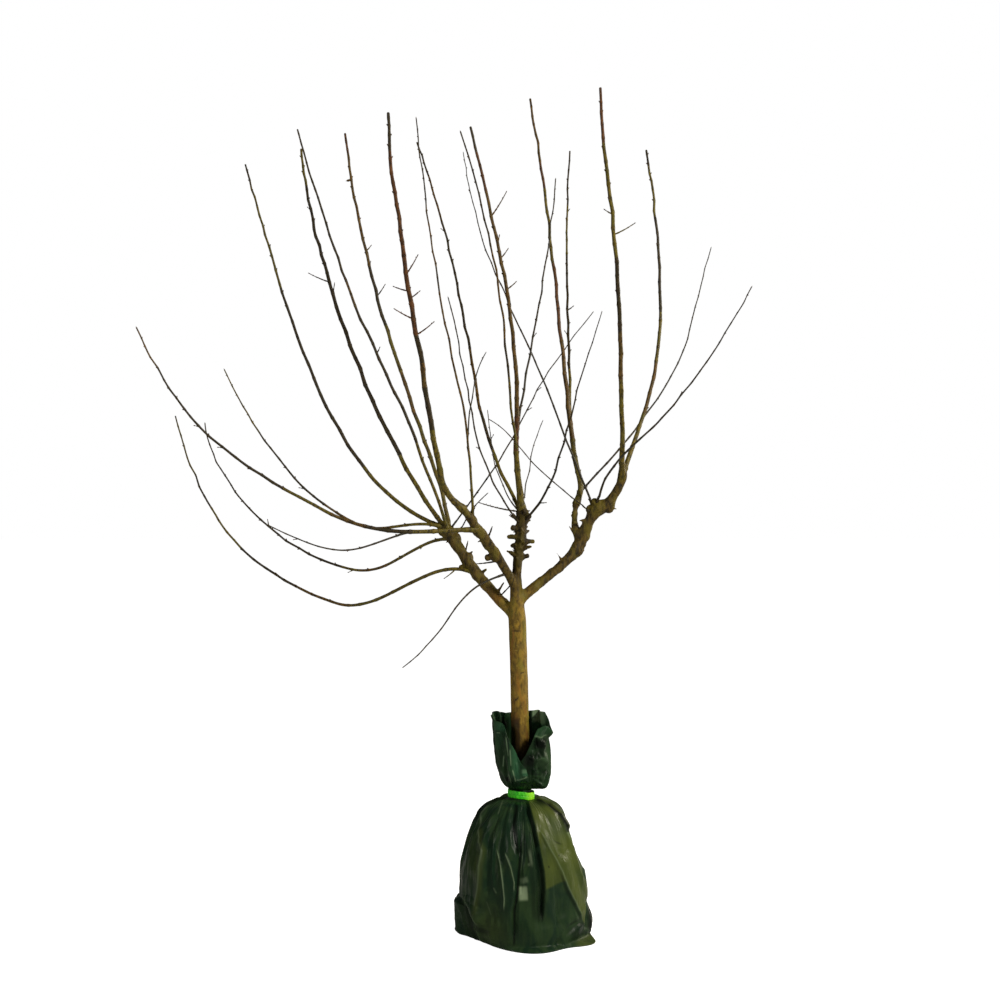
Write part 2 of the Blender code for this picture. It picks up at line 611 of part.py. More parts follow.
def build_collar(group):
    """The gathered film above the tie, open at the front and loose round the trunk."""
    foot = NECK_HEIGHT + GAP + COLLAR_WALL
    profile = []
    for ring in range(COLLAR_RINGS + 1):
        share = ring / COLLAR_RINGS
        spread = COLLAR_WAIST_RADIUS + (COLLAR_TOP_RADIUS - COLLAR_WAIST_RADIUS) * share
        opening = 1 - (1 - max(share - COLLAR_TIED, 0.0)) ** 8
        radius = COLLAR_FOOT_RADIUS + (spread - COLLAR_FOOT_RADIUS) * opening
        profile.append((radius, foot + (COLLAR_TOP - foot) * share))
    item = turned("bag_collar", profile, COLLAR_SIDES, group)
    for vertex in item.data.vertices:
        x, y, z = vertex.co
        radius, angle = math.hypot(x, y), math.atan2(y, x)
        share = (z - foot) / (COLLAR_TOP - foot)
        loose = max(share - 2 * COLLAR_TIED, 0.0) / (1 - 2 * COLLAR_TIED)
        radius += COLLAR_FOLD_DEPTH * min(1.0, 2.2 * loose) * pleat(angle, COLLAR_FOLDS, 1.1)
        lop = COLLAR_LOP_LOW + (COLLAR_LOP_TOP - COLLAR_LOP_LOW) * share
        clear = max(share - COLLAR_TIED, 0.0)
        filled = 3 * clear if math.cos(angle) > 0 else 5 * clear
        radius += lop * min(1.0, filled) * math.cos(angle)
        radius += COLLAR_BULGE * bump(angle, 0.0, 0.70) * swell_at(share, 0.50, 0.20)
        dip = COLLAR_NOTCH * bump(angle, COLLAR_NOTCH_AT, COLLAR_NOTCH_SPREAD) * loose
        dip += COLLAR_FLAP * bump(angle, COLLAR_FLAP_AT, COLLAR_FLAP_SPREAD) * loose
        hang = bump(angle, 0.0, 0.8) + 0.3 * bump(angle, math.pi, 0.7)
        dip += COLLAR_SAG * hang * math.sin(math.pi * min(1.0, clear / 0.6))
        vertex.co = (NECK_ASIDE + radius * math.cos(angle), radius * math.sin(angle), z - dip)
    wall = item.modifiers.new("wall", "SOLIDIFY")
    wall.thickness = COLLAR_WALL
    wall.offset = 0.0
    settle(item)
    tidy_mesh(item.data)
    return item


def build_tape(group):
    """The tape that ties the bag's neck."""
    foot = NECK_HEIGHT + GAP
    profile = [(TAPE_INSIDE, foot), (TAPE_OUTSIDE, foot), (TAPE_OUTSIDE + 0.0006, foot + 0.5 * TAPE_HEIGHT),
               (TAPE_OUTSIDE, foot + TAPE_HEIGHT), (TAPE_INSIDE, foot + TAPE_HEIGHT)]
    profile.append(profile[0])
    item = turned("tie_tape", profile, TAPE_SIDES, group)
    for vertex in item.data.vertices:
        vertex.co.x += NECK_ASIDE
    return item


# ---------------------------------------------------------------- the whole plant

def build_wood(group):
    bark = material("bark_trunk", (0.16, 0.11, 0.04), 0.8)
    bough_bark = material("bark_boughs", (0.12, 0.09, 0.04), 0.8)
    shoot_bark = material("bark_shoots", (0.09, 0.05, 0.03), 0.7)
    foot = Vector((NECK_ASIDE, 0.0, NECK_HEIGHT + GAP))
    courses = {TRUNK.name: Course(foot, TRUNK.leave, TRUNK.stops)}
    for limb in BOUGHS + SHOOTS:
        courses[limb.name] = Course(foot_of(limb, courses), limb.leave, limb.stops)
    trunk = limb_tube(TRUNK, courses[TRUNK.name], BOUGH_ROUNDING, BOUGH_STEP * 2, 0.0, group)
    trunk.data.materials.append(bark)
    carriers = [TRUNK]
    for limb in BOUGHS:
        item = build_limb(limb, courses, carriers, BOUGH_ROUNDING, BOUGH_STEP, 0.0, group)
        item.data.materials.append(bough_bark)
        carriers.append(limb)
    for limb in SHOOTS:
        item = build_limb(limb, courses, carriers, SHOOT_ROUNDING, SHOOT_STEP, WANDER, group)
        item.data.materials.append(shoot_bark)


def build():
    clear_scene()
    plant = collection("bagged_young_tree")
    ball = build_root_ball(plant)
    ball.data.materials.append(material("bag_film", (0.015, 0.035, 0.02), 0.35))
    collar = build_collar(plant)
    collar.data.materials.append(material("bag_collar_film", (0.02, 0.06, 0.035), 0.35))
    tape = build_tape(plant)
    tape.data.materials.append(material("tape_film", (0.06, 0.50, 0.05), 0.4))
    build_wood(plant)


build()
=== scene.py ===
"""Looks of the bare young tree on its bagged root ball.

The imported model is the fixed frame. The limbs are grown again from the same places, headings and
seeded rule as the solids, and carried on to bark relief, bud nodes, buds and short side twigs. The
bag is a lofted shell of thin film with pleats that run out from the tie, and sags on the ground.
Metres, +Z up, -Y towards the viewer.
"""

import json
import logging
import math
import random
from dataclasses import dataclass, field
from enum import Enum
import bpy
import numpy as np
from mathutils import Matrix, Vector, noise

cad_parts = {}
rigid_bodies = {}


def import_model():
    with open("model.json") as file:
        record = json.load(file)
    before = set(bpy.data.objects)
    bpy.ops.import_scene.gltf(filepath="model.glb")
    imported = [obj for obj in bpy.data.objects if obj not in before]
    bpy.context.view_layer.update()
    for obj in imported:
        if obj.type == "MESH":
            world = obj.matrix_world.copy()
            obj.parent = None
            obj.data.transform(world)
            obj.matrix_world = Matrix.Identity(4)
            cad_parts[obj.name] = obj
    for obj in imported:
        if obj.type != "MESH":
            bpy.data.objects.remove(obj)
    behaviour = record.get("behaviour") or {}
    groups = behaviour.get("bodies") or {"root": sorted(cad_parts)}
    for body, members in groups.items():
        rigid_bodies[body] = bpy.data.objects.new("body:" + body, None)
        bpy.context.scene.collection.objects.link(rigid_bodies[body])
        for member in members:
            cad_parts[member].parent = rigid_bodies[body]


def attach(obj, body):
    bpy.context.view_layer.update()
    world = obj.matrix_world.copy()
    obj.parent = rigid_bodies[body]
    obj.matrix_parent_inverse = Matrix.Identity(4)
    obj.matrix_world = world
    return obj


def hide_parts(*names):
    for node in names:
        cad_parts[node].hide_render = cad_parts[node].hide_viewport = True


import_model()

LOG = logging.getLogger("young_tree")
SEED = 7
MM = 0.001

NECK_HEIGHT = 0.338         # the bag is tied here, just over the soil
NECK_ASIDE = -0.006         # the neck stands a little left of the ball's middle
GAP = 0.0003                # clear space between two solids that meet
VIEW_ASIDE = -0.0575        # the front view's eye: its place to the right,
VIEW_AWAY = 4.0             # its distance in front
VIEW_HEIGHT = 1.085         # and its height


# ---------------------------------------------------------------- limbs, as in the solids

@dataclass(frozen=True)
class Heading:
    """A direction: its lean from upright in degrees, right positive, and its slope to the back."""

    lean: float
    back: float = 0.0
    pull: float = 0.4

    def vector(self) -> Vector:
        """The direction as a vector."""
        angle = math.radians(self.lean)
        return Vector((math.sin(angle), self.back, math.cos(angle)))


@dataclass(frozen=True)
class Stop:
    """A place that a limb passes or ends at, and its heading there."""

    x: float
    y: float
    z: float
    heading: Heading

    def place(self) -> Vector:
        """The place as a vector."""
        return Vector((self.x, self.y, self.z))


@dataclass(frozen=True)
class Spur:
    """A short side twig: where it stands on its limb, its heading, length and girth."""

    at: float
    heading: Heading
    length: float
    girth: float = 2.6


@dataclass(frozen=True)
class Limb:
    """A tapering limb. Girths are diameters in millimetres at shares of its length."""

    name: str
    parent: str
    at: float
    leave: Heading
    stops: tuple
    girths: tuple
    foot_back: float = 0.0
    spurs: tuple = ()
    forks: tuple = ()

    def radius(self, share: float) -> float:
        """The limb's radius in metres at a share of its length.

        Args:
            share: The share of the length, from 0 to 1.

        Returns:
            The radius.
        """
        for (low, thick), (high, thin) in zip(self.girths, self.girths[1:]):
            if share <= high:
                part = (share - low) / (high - low)
                return 0.5 * MM * (thick + (thin - thick) * part)
        return 0.5 * MM * self.girths[-1][1]


class Course:
    """The centre line of a limb, read by its length."""

    LEG_SAMPLES = 48

    def __init__(self, foot: Vector, leave: Heading, stops: tuple) -> None:
        """Lay the line.

        Args:
            foot: Where the limb starts.
            leave: Its heading there.
            stops: The places that it passes, the last one its tip.
        """
        self.points = [foot]
        start, heading = foot, leave
        for stop in stops:
            end = stop.place()
            reach = (end - start).length
            first = start + heading.vector() * heading.pull * reach
            second = end - stop.heading.vector() * stop.heading.pull * reach
            for step in range(1, self.LEG_SAMPLES + 1):
                self.points.append(blend(start, first, second, end, step / self.LEG_SAMPLES))
            start, heading = end, stop.heading
        self.lengths = [0.0]
        for one, two in zip(self.points, self.points[1:]):
            self.lengths.append(self.lengths[-1] + (two - one).length)
        self.length = self.lengths[-1]

    def place(self, share: float) -> Vector:
        """The point at a share of the length.

        Args:
            share: The share of the length, from 0 to 1.

        Returns:
            The point.
        """
        wanted = min(max(share, 0.0), 1.0) * self.length
        for index in range(1, len(self.lengths)):
            if self.lengths[index] >= wanted:
                run = self.lengths[index] - self.lengths[index - 1]
                part = (wanted - self.lengths[index - 1]) / run
                return self.points[index - 1].lerp(self.points[index], part)
        return self.points[-1].copy()

    def heading(self, share: float) -> Vector:
        """The unit direction at a share of the length."""
        step = 0.01
        return (self.place(share + step) - self.place(share - step)).normalized()


def blend(start: Vector, first: Vector, second: Vector, end: Vector, t: float) -> Vector:
    """A point on the cubic arc through two ends and two pulls."""
    s = 1 - t
    return start * s ** 3 + first * 3 * s * s * t + second * 3 * s * t * t + end * t ** 3


TRUNK = Limb(
    "trunk", "", 0.0, Heading(0), (Stop(-0.017, 0.0, 0.860, Heading(-2)),),
    ((0.0, 46), (0.10, 45), (0.87, 44), (1.0, 31)))

BOUGHS = (
    Limb("leader", "trunk", 1.0, Heading(-1),
         (Stop(-0.003, 0.010, 1.066, Heading(-3)),),
         ((0.0, 27), (0.25, 24), (0.5, 25), (0.65, 28), (0.8, 26), (0.93, 31), (1.0, 22)),
         spurs=(
             Spur(0.37, Heading(70, 0.1), 0.027, 11), Spur(0.41, Heading(-66, -0.2), 0.033, 9),
             Spur(0.49, Heading(76, -0.3), 0.033, 9), Spur(0.53, Heading(-88, 0.3), 0.022, 12),
             Spur(0.57, Heading(84, 0.1), 0.033, 11), Spur(0.62, Heading(-82, -0.1), 0.032, 13),
             Spur(0.68, Heading(66, 0.5), 0.024, 10), Spur(0.72, Heading(-70, -0.2), 0.024, 13),
             Spur(0.77, Heading(-32, -0.1), 0.036, 5), Spur(0.80, Heading(-50, 0.2), 0.036, 5),
             Spur(0.83, Heading(-64, -0.3), 0.034, 4), Spur(0.86, Heading(62, -0.3), 0.020, 14),
             Spur(0.95, Heading(-78, -0.3), 0.112, 3))),
    Limb("bough_left_low", "trunk", 0.868, Heading(-46, 0.35),
         (Stop(-0.112, 0.050, 0.893, Heading(-41, 0.35)),
          Stop(-0.204, 0.100, 1.018, Heading(-42, 0.35))),
         ((0.0, 30), (0.3, 26), (0.6, 30), (0.82, 27), (0.93, 38), (1.0, 29)),
         spurs=(
             Spur(0.25, Heading(29, -0.3), 0.042, 7), Spur(0.23, Heading(44, 0.1), 0.050, 3),
             Spur(0.48, Heading(50, -0.4), 0.028, 9), Spur(0.59, Heading(-104, 0.1), 0.026, 13),
             Spur(0.67, Heading(50, -0.3), 0.026, 9), Spur(0.69, Heading(16, 0.2), 0.036, 4),
             Spur(0.90, Heading(-150, -0.3), 0.026, 7))),
    Limb("bough_left_high", "leader", 0.01, Heading(-26, -0.50),
         (Stop(-0.144, -0.130, 1.061, Heading(-33, -0.60, 0.45)),),
         ((0.0, 22), (0.35, 22), (0.55, 25), (0.8, 25), (1.0, 19)),
         spurs=(
             Spur(0.35, Heading(-99, 0.1), 0.056, 3.5), Spur(0.43, Heading(-115, 0.1), 0.024, 15),
             Spur(0.62, Heading(-110, 0.1), 0.020, 7), Spur(0.60, Heading(23, -0.2), 0.036, 4))),
    Limb("bough_right", "trunk", 0.942, Heading(48, 0.20, 0.44),
         (Stop(0.155, 0.040, 0.999, Heading(21, 0.10, 0.33)),),
         ((0.0, 28), (0.3, 24), (0.6, 25), (0.85, 30), (1.0, 26)),
         spurs=(Spur(0.61, Heading(-27, -0.2), 0.034, 6), Spur(0.84, Heading(112, 0.2), 0.020, 9))),
    Limb("bough_right_upper", "bough_right", 1.0, Heading(16, -0.10, 0.65),
         (Stop(0.249, 0.020, 1.138, Heading(19, -0.10, 0.65)),),
         ((0.0, 26), (0.24, 26), (0.43, 41), (0.6, 28), (0.8, 21), (1.0, 19)),
         spurs=(Spur(0.18, Heading(-80, -0.3), 0.026, 8),
                Spur(0.55, Heading(112, -0.3), 0.032, 6))),
    Limb("bough_right_inner", "bough_right", 0.90, Heading(-25, 0.30),
         (Stop(0.135, 0.062, 1.073, Heading(7, 0.10)),),
         ((0.0, 18), (0.3, 19), (0.6, 16), (1.0, 16)),
         spurs=(Spur(0.27, Heading(-45, -0.2), 0.026, 7),)),
)

SHOOTS = (
    # the left bough's fist
    Limb("shoot_left_outer", "bough_left_low", 0.98, Heading(-71, 0.20, 0.28),
         (Stop(-0.726, 0.200, 1.965, Heading(-16, 0.05, 0.42)),),
         ((0.0, 10), (0.2, 9), (0.6, 6.8), (1.0, 4.2))),
    Limb("shoot_left_back", "bough_left_low", 0.96, Heading(-38, 0.50, 0.32),
         (Stop(-0.600, 0.380, 2.045, Heading(-4, 0.15, 0.20)),),
         ((0.0, 11), (0.6, 9.2), (1.0, 5.6)), foot_back=0.011,
         spurs=(Spur(0.64, Heading(8, 0.3), 0.028), Spur(0.67, Heading(-66, 0.2), 0.062))),
    Limb("shoot_left_middle", "bough_left_low", 0.91, Heading(-18, -0.12, 0.50),
         (Stop(-0.573, 0.060, 2.025, Heading(-16, 0.0, 0.60)),),
         ((0.0, 8.2), (0.5, 7), (1.0, 4)), foot_back=-0.008,
         spurs=(Spur(0.45, Heading(30, -0.4), 0.016),)),
    Limb("shoot_left_inner", "bough_left_low", 0.90, Heading(-7, 0.30, 0.20),
         (Stop(-0.471, 0.260, 2.060, Heading(-8, 0.08, 0.53)),),
         ((0.0, 10), (0.5, 8.6), (1.0, 5.4)), foot_back=0.004,
         spurs=(Spur(0.60, Heading(34, 0.1), 0.036), Spur(0.71, Heading(45, -0.3), 0.018),
                Spur(0.885, Heading(-105, 0.0), 0.011, 6))),
    Limb("shoot_left_short", "bough_left_low", 0.86, Heading(38, 0.60),
         (Stop(-0.089, 0.160, 1.102, Heading(48, 0.50)),), ((0.0, 3.6), (1.0, 2.2))),
    Limb("shoot_crossing_right", "bough_left_low", 0.93, Heading(37, 0.10, 0.66),
         (Stop(0.190, 0.280, 1.587, Heading(38, 0.30, 0.60)),),
         ((0.0, 4), (1.0, 2.2)), foot_back=-0.006),
    Limb("shoot_arc_middle", "bough_left_low", 0.99, Heading(-74, -0.25, 0.42),
         (Stop(-0.430, 0.060, 1.028, Heading(-62, -0.12, 0.36)),
          Stop(-0.747, 0.000, 1.411, Heading(-25, -0.10, 0.33))),
         ((0.0, 7.5), (0.4, 5.4), (1.0, 2.6)), foot_back=-0.010),
    Limb("shoot_arc_back", "bough_left_low", 0.86, Heading(-87, 0.30, 0.35),
         (Stop(-0.445, 0.180, 0.904, Heading(-79, 0.25, 0.37)),
          Stop(-0.849, 0.300, 1.291, Heading(-5, 0.10, 0.25))),
         ((0.0, 7.5), (1.0, 3)), foot_back=0.004,
         spurs=(Spur(0.62, Heading(-10, 0.2), 0.016),)),
    Limb("shoot_arc_low", "bough_left_low", 0.485, Heading(-61, 0.10, 0.37),
         (Stop(-0.490, 0.120, 0.822, Heading(-70, 0.15, 0.36)),
          Stop(-0.909, 0.200, 1.305, Heading(-15, 0.10, 0.46))),
         ((0.0, 8.6), (0.4, 6.6), (1.0, 3.4)),
         spurs=(Spur(0.055, Heading(-129, -0.2), 0.036),)),
    # the front left bough
    Limb("shoot_front_tall", "bough_left_high", 1.0, Heading(-54, -0.30, 0.33),
         (Stop(-0.201, -0.170, 1.146, Heading(-9, -0.35, 0.32)),
          Stop(-0.309, -0.420, 1.951, Heading(-2, -0.22, 0.22))),
         ((0.0, 15), (0.2, 12), (0.6, 10), (1.0, 6)),
         spurs=(
             Spur(0.473, Heading(53, 0.1), 0.050), Spur(0.513, Heading(-63, -0.2), 0.048),
             Spur(0.563, Heading(56, -0.3), 0.026), Spur(0.583, Heading(-72, 0.2), 0.036),
             Spur(0.623, Heading(32, -0.1), 0.050))),
    Limb("shoot_front_second", "bough_left_high", 0.84, Heading(-2, -0.02, 0.42),
         (Stop(-0.258, -0.200, 1.992, Heading(-6, -0.08, 0.68)),),
         ((0.0, 6.8), (0.2, 5.4), (1.0, 2.6)), foot_back=0.006,
         forks=(
             Limb("fork", "", 0.20, Heading(2, 0.30, 0.45),
                  (Stop(-0.093, -0.060, 1.447, Heading(31, 0.30, 0.22)),),
                  ((0.0, 3.6), (1.0, 2.1))),)),
    Limb("shoot_arc_front", "bough_left_high", 0.75, Heading(-90, -0.40, 0.36),
         (Stop(-0.480, -0.190, 1.062, Heading(-62, -0.12, 0.42)),
          Stop(-0.904, -0.280, 1.486, Heading(-25, -0.10, 0.44))),
         ((0.0, 11), (0.4, 7), (1.0, 3)), foot_back=-0.008,
         forks=(
             Limb("fork", "", 0.170, Heading(-106, -0.40, 0.38),
                  (Stop(-0.599, -0.320, 1.031, Heading(-62, -0.30, 0.60)),),
                  ((0.0, 4.6), (1.0, 2.3))),)),
    Limb("shoot_hanging", "bough_left_high", 0.19, Heading(-105, -0.70, 0.42),
         (Stop(-0.288, -0.220, 0.690, Heading(-126, -0.50, 0.47)),), ((0.0, 5), (1.0, 2.2))),
    # the head of the leader
    Limb("shoot_centre", "leader", 0.95, Heading(-8, -0.08, 0.32),
         (Stop(-0.130, -0.120, 1.989, Heading(-15, -0.12, 0.70)),),
         ((0.0, 17), (0.15, 13), (0.4, 9.4), (1.0, 5.6)),
         spurs=(
             Spur(0.58, Heading(51, -0.1), 0.028), Spur(0.66, Heading(37, 0.2), 0.030),
             Spur(0.70, Heading(14, -0.4), 0.018), Spur(0.77, Heading(33, -0.2), 0.068)),
         forks=(
             Limb("fork", "", 0.16, Heading(-8, -0.35, 0.33),
                  (Stop(-0.149, -0.280, 1.941, Heading(-18, -0.12, 0.46)),),
                  ((0.0, 6.2), (1.0, 3.2))),
             Limb("fork", "", 0.19, Heading(7, 0.25),
                  (Stop(0.086, 0.120, 1.911, Heading(5, 0.15)),), ((0.0, 6), (1.0, 2.7))))),
    Limb("shoot_centre_back", "leader", 0.93, Heading(-29, 0.45, 0.32),
         (Stop(-0.285, 0.420, 2.072, Heading(-18, 0.25, 0.60)),),
         ((0.0, 9), (0.4, 7), (1.0, 4.4)), foot_back=0.004),
    Limb("shoot_centre_front", "leader", 0.78, Heading(-38, -0.80, 0.35),
         (Stop(-0.177, -0.360, 1.545, Heading(-15, -0.45, 0.42)),), ((0.0, 4.4), (1.0, 2.3))),
    Limb("shoot_centre_right", "leader", 0.79, Heading(39, -0.60, 0.28),
         (Stop(0.177, -0.300, 1.519, Heading(17, -0.45, 0.66)),),
         ((0.0, 6), (0.4, 4.5), (1.0, 1.8)), spurs=(Spur(0.13, Heading(88, 0.1), 0.014),)),
    Limb("shoot_centre_short", "leader", 0.96, Heading(11, 0.60),
         (Stop(0.051, 0.120, 1.288, Heading(24, 0.40, 0.30)),), ((0.0, 3.2), (1.0, 1.8)),
         foot_back=0.005),
    Limb("shoot_centre_thin", "leader", 0.92, Heading(-47, 0.20, 0.31),
         (Stop(-0.089, 0.060, 1.311, Heading(-6, 0.20)),), ((0.0, 3.2), (1.0, 1.8)),
         foot_back=-0.007),
    # the right bough
    Limb("shoot_right_tall", "bough_right_upper", 1.0, Heading(-1, -0.25, 0.7),
         (Stop(0.178, -0.220, 2.058, Heading(-4, -0.20, 0.34)),),
         ((0.0, 15), (0.12, 11.5), (0.8, 8.4), (1.0, 6)),
         spurs=(Spur(0.64, Heading(62, -0.1), 0.056), Spur(0.69, Heading(-59, 0.1), 0.022)),
         forks=(
             Limb("fork", "", 0.008, Heading(22, 0.30, 0.32),
                  (Stop(0.326, 0.200, 2.003, Heading(-8, 0.12, 0.53)),),
                  ((0.0, 13), (0.15, 9.6), (1.0, 5))),)),
    Limb("shoot_right_inner", "bough_right_inner", 1.0, Heading(24, 0.20, 0.42),
         (Stop(0.129, 0.095, 1.225, Heading(-6, 0.22, 0.45)),
          Stop(0.023, 0.280, 2.158, Heading(-9, 0.15, 0.42))),
         ((0.0, 14), (0.2, 11.5), (0.4, 8.8), (1.0, 5.2)),
         forks=(
             Limb("fork", "", 0.20, Heading(1, 0.40, 0.35),
                  (Stop(0.137, 0.460, 2.057, Heading(3, 0.15, 0.50)),), ((0.0, 7.5), (1.0, 4.2)),
                  spurs=(Spur(0.41, Heading(56, -0.2), 0.018),)),
             Limb("fork", "", 0.03, Heading(44, 0.50, 0.58),
                  (Stop(0.517, 0.360, 1.772, Heading(18, 0.30, 0.36)),),
                  ((0.0, 5.2), (1.0, 2.2))))),
    Limb("shoot_right_wide", "bough_right_upper", 0.36, Heading(12, -0.35, 0.32),
         (Stop(0.548, -0.160, 1.596, Heading(28, -0.22, 0.73)),),
         ((0.0, 5.6), (1.0, 2.3)), foot_back=-0.004),
    Limb("shoot_crossing_left", "bough_right_upper", 0.36, Heading(-20, 0.10, 0.70),
         (Stop(-0.154, 0.240, 2.005, Heading(-9, 0.20, 0.38)),),
         ((0.0, 5.4), (1.0, 1.9)), foot_back=0.006),
    Limb("shoot_crossing_front", "bough_right_upper", 0.32, Heading(-54, -0.70, 0.76),
         (Stop(-0.082, -0.120, 1.280, Heading(-61, -0.20, 0.23)),), ((0.0, 3.2), (1.0, 1.8)),
         foot_back=-0.006),
)


# ---------------------------------------------------------------- mesh tools

def smooth_step(value: np.ndarray, low: float, high: float) -> np.ndarray:
    """A smooth ramp from 0 at low to 1 at high."""
    t = np.clip((value - low) / (high - low), 0.0, 1.0)
    return t * t * (3 - 2 * t)


def hump(value: np.ndarray, middle: float, spread: float) -> np.ndarray:
    """A smooth hump, 1 at its middle."""
    return np.exp(-((value - middle) / spread) ** 2)


def turn_off(angle: np.ndarray, middle: float) -> np.ndarray:
    """How far an angle is from another, between -pi and pi."""
    return np.remainder(angle - middle + math.pi, 2 * math.pi) - math.pi


def tent(value: np.ndarray, blunt: float = 0.14) -> np.ndarray:
    """A fold's section: flat flanks and a slightly rounded crest, 0 beyond 1."""
    return np.clip(1 - (np.sqrt(value ** 2 + blunt ** 2) - blunt), 0.0, None)


def pleat(angle: np.ndarray, count: int, phase: float) -> np.ndarray:
    """Uneven gathers, between -1 and 1."""
    return 0.7 * np.sin(count * angle + phase) + 0.3 * np.sin((count + 4) * angle + 2.3 * phase)


def arc(start: tuple, first: tuple, second: tuple, end: tuple, steps: int) -> list:
    """A cubic arc in the (radius, height) plane, without its first point."""
    corners = [Vector((x, z, 0)) for x, z in (start, first, second, end)]
    return [blend(*corners, step / steps).xy[:] for step in range(1, steps + 1)]


@dataclass
class Skin:
    """Gathers rings and patches of vertices into one mesh."""

    points: list = field(default_factory=list)
    faces: list = field(default_factory=list)
    marks: list = field(default_factory=list)
    count: int = 0

    def add_tube(self, places: np.ndarray, radii: np.ndarray, sides: int, marks: object = 0,
                 lumps: np.ndarray | None = None) -> None:
        """Sweep a closed tube with a rounded tip along a line.

        Args:
            places: The line, one row a ring.
            radii: The radius at each ring.
            sides: How many sides the tube has.
            marks: The finish of each ring's faces, or one for them all.
            lumps: A factor on the radius for each ring and side.
        """
        ways = np.gradient(places, axis=0)
        ways /= np.linalg.norm(ways, axis=1)[:, None]
        tip = places[-1] + ways[-1] * radii[-1] * 0.55
        places = np.vstack([places, tip])
        radii = np.append(radii, radii[-1] * 0.55)
        ways = np.vstack([ways, ways[-1]])
        rings = len(places)
        side = np.cross(ways[0], (0.31, 0.95, 0.05))
        side /= np.linalg.norm(side)
        angles = np.arange(sides) * 2 * math.pi / sides
        cosine, sine = np.cos(angles)[:, None], np.sin(angles)[:, None]
        body = np.empty((rings, sides, 3))
        for ring in range(rings):
            side = side - ways[ring] * side.dot(ways[ring])
            side /= np.linalg.norm(side)
            other = np.cross(ways[ring], side)
            scale = radii[ring]
            if lumps is not None:
                scale = scale * lumps[min(ring, rings - 2)][:, None]
            body[ring] = places[ring] + (cosine * side + sine * other) * scale
        base = self.count
        index = base + np.arange(rings * sides).reshape(rings, sides)
        across = np.roll(index, -1, axis=1)
        quads = np.stack([index[:-1], across[:-1], across[1:], index[1:]], axis=-1)
        self.faces += quads.reshape(-1, 4).tolist()
        if np.isscalar(marks):
            self.marks += [int(marks)] * ((rings - 1) * sides + 2)
            first = last = int(marks)
        else:
            steps = list(marks)[:rings - 1] + [marks[-1]] * max(0, rings - 1 - len(marks))
            for step in steps:
                self.marks += [int(step)] * sides
            first, last = int(steps[0]), int(steps[-1])
            self.marks += [first, last]
        self.faces += [index[0][::-1].tolist(), index[-1].tolist()]
        self.points.append(body.reshape(-1, 3))
        self.count += rings * sides

    def build(self, name: str, finishes: tuple = ()) -> bpy.types.Object:
        """Make the object.

        Args:
            name: The piece's name.
            finishes: Its materials, in the order of the marks.

        Returns:
            The new object, smooth shaded, linked to the scene.
        """
        mesh = bpy.data.meshes.new(name)
        mesh.from_pydata(np.vstack(self.points).tolist(), [], self.faces)
        for finish in finishes:
            mesh.materials.append(finish)
        mesh.polygons.foreach_set("material_index", self.marks)
        mesh.polygons.foreach_set("use_smooth", [True] * len(mesh.polygons))
        mesh.update()
        return put(name, mesh)


def put(name: str, data: object) -> bpy.types.Object:
    """Add an object to the scene.

    Args:
        name: Its name.
        data: Its mesh, lamp or camera.

    Returns:
        The object.
    """
    item = bpy.data.objects.new(name, data)
    bpy.context.scene.collection.objects.link(item)
    return item


def settle(item: bpy.types.Object) -> None:
    """Replace an object's mesh by what its modifiers make of it.

    Args:
        item: The object.
    """
    bpy.context.view_layer.update()
    mesh = bpy.data.meshes.new_from_object(item.evaluated_get(bpy.context.evaluated_depsgraph_get()))
    item.modifiers.clear()
    item.data = mesh


def places_of(mesh: bpy.types.Mesh, what: str = "co") -> np.ndarray:
    """Read a mesh's vertex places or normals as rows.

    Args:
        mesh: The mesh.
        what: co for places or normal for normals.

    Returns:
        The rows, one a vertex.
    """
    values = np.empty(len(mesh.vertices) * 3, np.float32)
    mesh.vertices.foreach_get(what, values)
    return values.reshape(-1, 3).astype(float)


def move_to(mesh: bpy.types.Mesh, places: np.ndarray) -> None:
    """Write a mesh's vertex places."""
    mesh.vertices.foreach_set("co", places.astype(np.float32).ravel())
    mesh.update()


def relax(mesh: bpy.types.Mesh, share: np.ndarray, rounds: int) -> None:
    """Draw each vertex towards the middle of its neighbours.

    Args:
        mesh: The mesh to smooth.
        share: How far each vertex goes in a round, from 0 to 1.
        rounds: How many rounds.
    """
    edges = np.empty(len(mesh.edges) * 2, np.int64)
    mesh.edges.foreach_get("vertices", edges)
    one, two = edges.reshape(-1, 2).T
    places = places_of(mesh)
    total = len(places)
    many = np.bincount(one, minlength=total) + np.bincount(two, minlength=total)
    for _ in range(rounds):
        middle = np.empty_like(places)
        for axis in range(3):
            middle[:, axis] = (np.bincount(one, places[two, axis], total)
                               + np.bincount(two, places[one, axis], total)) / many
        places += (middle - places) * share[:, None]
    move_to(mesh, places)


def note(mesh: bpy.types.Mesh, name: str, values: np.ndarray) -> None:
    """Keep one number for each vertex, for the finish to read."""
    layer = mesh.attributes.new(name, "FLOAT", "POINT")
    layer.data.foreach_set("value", values.astype(np.float32).ravel())


def sheet_mesh(name: str, grid: np.ndarray, closed: bool = True) -> bpy.types.Mesh:
    """A mesh from a grid of places that runs round the second way.

    Args:
        name: The mesh's name.
        grid: Places, rings by sides by three.
        closed: Whether the sides join up.

    Returns:
        The mesh.
    """
    rings, sides = grid.shape[:2]
    index = np.arange(rings * sides).reshape(rings, sides)
    across = np.roll(index, -1, axis=1)
    if not closed:
        index, across = index[:, :-1], across[:, :-1]
    quads = np.stack([index[:-1], across[:-1], across[1:], index[1:]], axis=-1)
    mesh = bpy.data.meshes.new(name)
    mesh.from_pydata(grid.reshape(-1, 3).tolist(), [], quads.reshape(-1, 4).tolist())
    mesh.polygons.foreach_set("use_smooth", [True] * len(mesh.polygons))
    mesh.update()
    return mesh


